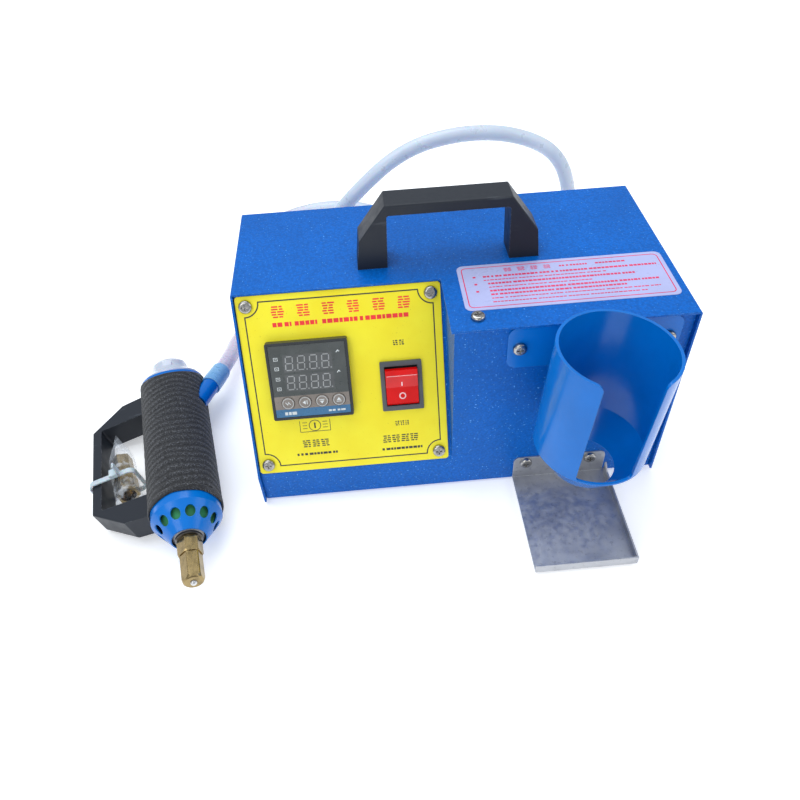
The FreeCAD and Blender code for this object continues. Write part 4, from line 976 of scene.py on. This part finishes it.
marks = Ink(FACE_FRONT)
for n, dy in enumerate((9.7, 15.6, 22.0, 28.1)):
    u, t = on_face(5.5, dy)
    marks.stroke([(u - 1.1, t - 0.9), (u - 1.1, t + 0.9), (u + 1.1, t + 0.9), (u + 1.1, t - 0.9)],
                 0.28, True)
    marks.stroke([(u - 0.5, t), (u + 0.5, t)], 0.28)
for dx, dy in ((41.9, 7.6), (41.4, 20.0)):
    u, t = on_face(dx, dy)
    marks.stroke([(u - 0.9, t - 0.5), (u + 0.1, t + 0.7), (u + 0.9, t - 0.1)], 0.5)
for dx0, dx1, tall in ((7.0, 14.0, 1.9), (33.2, 43.2, 1.1)):
    u, t = on_face(dx0, 44.0)
    marks.dashes(draw, u, u + dx1 - dx0, t, tall, 1.9, gap=0.5)
marks.finish("controller_marks", INK_PALE, "base", SLOPE)

KEY_PLACES = {name: (CTRL_U - 14.4 + 10.1 * n, CTRL_T + CTRL_HALF - 37.4)
              for n, name in enumerate(("set", "shift", "down", "up"))}
for name, (u, t) in KEY_PLACES.items():
    icon = Ink(KEY_FRONT, 0.04)
    icon.ring(u, t, 3.15, 0.22)
    if name == "set":
        icon.stroke([(u - 1.5, t + 0.8), (u - 0.3, t - 0.8), (u + 0.3, t + 0.8), (u + 1.5, t - 0.8)],
                    0.32)
    elif name == "shift":
        icon.area([(u - 1.5, t), (u + 0.3, t - 1.3), (u + 0.3, t + 1.3)])
        icon.stroke([(u + 1.2, t - 1.3), (u + 1.2, t + 1.3)], 0.4)
    else:
        way = 1 if name == "up" else -1
        icon.area([(u - 1.35, t - 0.2 * way), (u + 1.35, t - 0.2 * way), (u, t + 1.6 * way)][::way])
        icon.stroke([(u - 1.5, t - 0.95 * way), (u + 1.5, t - 0.95 * way)], 0.4)
    icon.finish("key_" + name + "_mark", INK_PALE, "key_" + name, SLOPE)

# ---------------------------------------------------------------- rocker marks: printed I and O, and a painted glint
ROCKER_AT = (93.7, 52.5, 0.8)
ROCKER_TILT = math.radians(10.0)
FACE_TILT = math.atan2(2.3, 9.4)
ROCKER = SLOPE @ Matrix.Translation(ROCKER_AT) @ Matrix.Rotation(ROCKER_TILT, 4, "X")
for name, tilt, draw_mark in (("on", FACE_TILT, 1), ("off", -FACE_TILT, 0)):
    mark = Ink(0.0, 0.04)
    if draw_mark:
        mark.stroke([(0, 1.1), (0, 4.2)], 0.7)
        # painted highlight: a pale line across the rocker where its chamfer meets the upper face
        mark.stroke([(-9.0, 9.25), (9.0, 9.25)], 0.3)
    else:
        mark.ring(0, -5.4, 1.75, 0.65)
    at = ROCKER @ Matrix.Translation((0, 0, 2.9)) @ Matrix.Rotation(tilt, 4, "X")
    mark.finish("rocker_print_and_glint_" + name, ROCKER_PRINT_AND_GLINT, "rocker", at)

# ---------------------------------------------------------------- inlet pins, on the back
INLET_AT = (58.0, 34.0)
PIN_LEN = 13.4
pins = Ink(0.0, PIN_LEN)
for dx, dz in ((-7, -2), (0, 2), (7, -2)):
    w, h = 1.12, 2.12
    pins.area([(dx - w, dz - h + 0.4), (dx - w + 0.3, dz - h), (dx + w - 0.3, dz - h),
               (dx + w, dz - h + 0.4), (dx + w, dz + h - 0.4), (dx + w - 0.3, dz + h),
               (dx - w + 0.3, dz + h), (dx - w, dz + h - 0.4)])
inlet_back = Matrix.Translation((INLET_AT[0], BOX_D - 14.0, INLET_AT[1]))
INLET = DESIGN @ inlet_back @ Matrix.Rotation(-math.pi / 2, 4, "X")
pins.finish("inlet_pins", CHROME, "base", INLET)

# ================================================================ stage and light
floor_z = (DESIGN @ Vector((0, 0, FLOOR_Z))).z
FLOOR_HALF = 6.0
floor_mesh = bpy.data.meshes.new("floor")
floor_mesh.from_pydata([(x, y, floor_z - 0.0001) for x, y in
                        ((-FLOOR_HALF, -FLOOR_HALF), (FLOOR_HALF, -FLOOR_HALF),
                         (FLOOR_HALF, FLOOR_HALF), (-FLOOR_HALF, FLOOR_HALF))], [], [(0, 1, 2, 3)])
floor = bpy.data.objects.new("floor", floor_mesh)
bpy.context.collection.objects.link(floor)
floor_mesh.materials.append(grained("pale_floor", (0.90, 0.90, 0.90), 0.8, grain=3.0, vary=0.01, edge=0,
                                    Emission_Color=(0.95, 0.97, 1.0, 1), Emission_Strength=0.38).material)

world = bpy.data.worlds.new("world")
world.use_nodes = True
background = world.node_tree.nodes["Background"]
background.inputs["Color"].default_value = (0.90, 0.94, 1.0, 1)
background.inputs["Strength"].default_value = 0.62
bpy.context.scene.world = world
bpy.context.scene.view_settings.view_transform = "Standard"


def soft_light(name, at, aim, size, watts, color=(1, 1, 1)):
    data = bpy.data.lights.new(name, "AREA")
    data.shape = "RECTANGLE"
    data.size, data.size_y = size
    data.energy = watts
    data.color = color
    light = bpy.data.objects.new(name, data)
    bpy.context.collection.objects.link(light)
    light.location = at
    light.rotation_mode = "QUATERNION"
    light.rotation_quaternion = (Vector(aim) - Vector(at)).to_track_quat("-Z", "Y")


soft_light("sky", (-0.25, 0.35, 1.5), (0, 0, 0.05), (1.6, 1.2), 18.5, (0.93, 0.97, 1.0))
soft_light("front", (-0.7, -1.2, 1.0), (0, 0, 0.06), (1.0, 0.8), 6.5)
soft_light("side", (1.3, -0.3, 0.8), (0.1, 0, 0.06), (0.8, 0.8), 3.6)
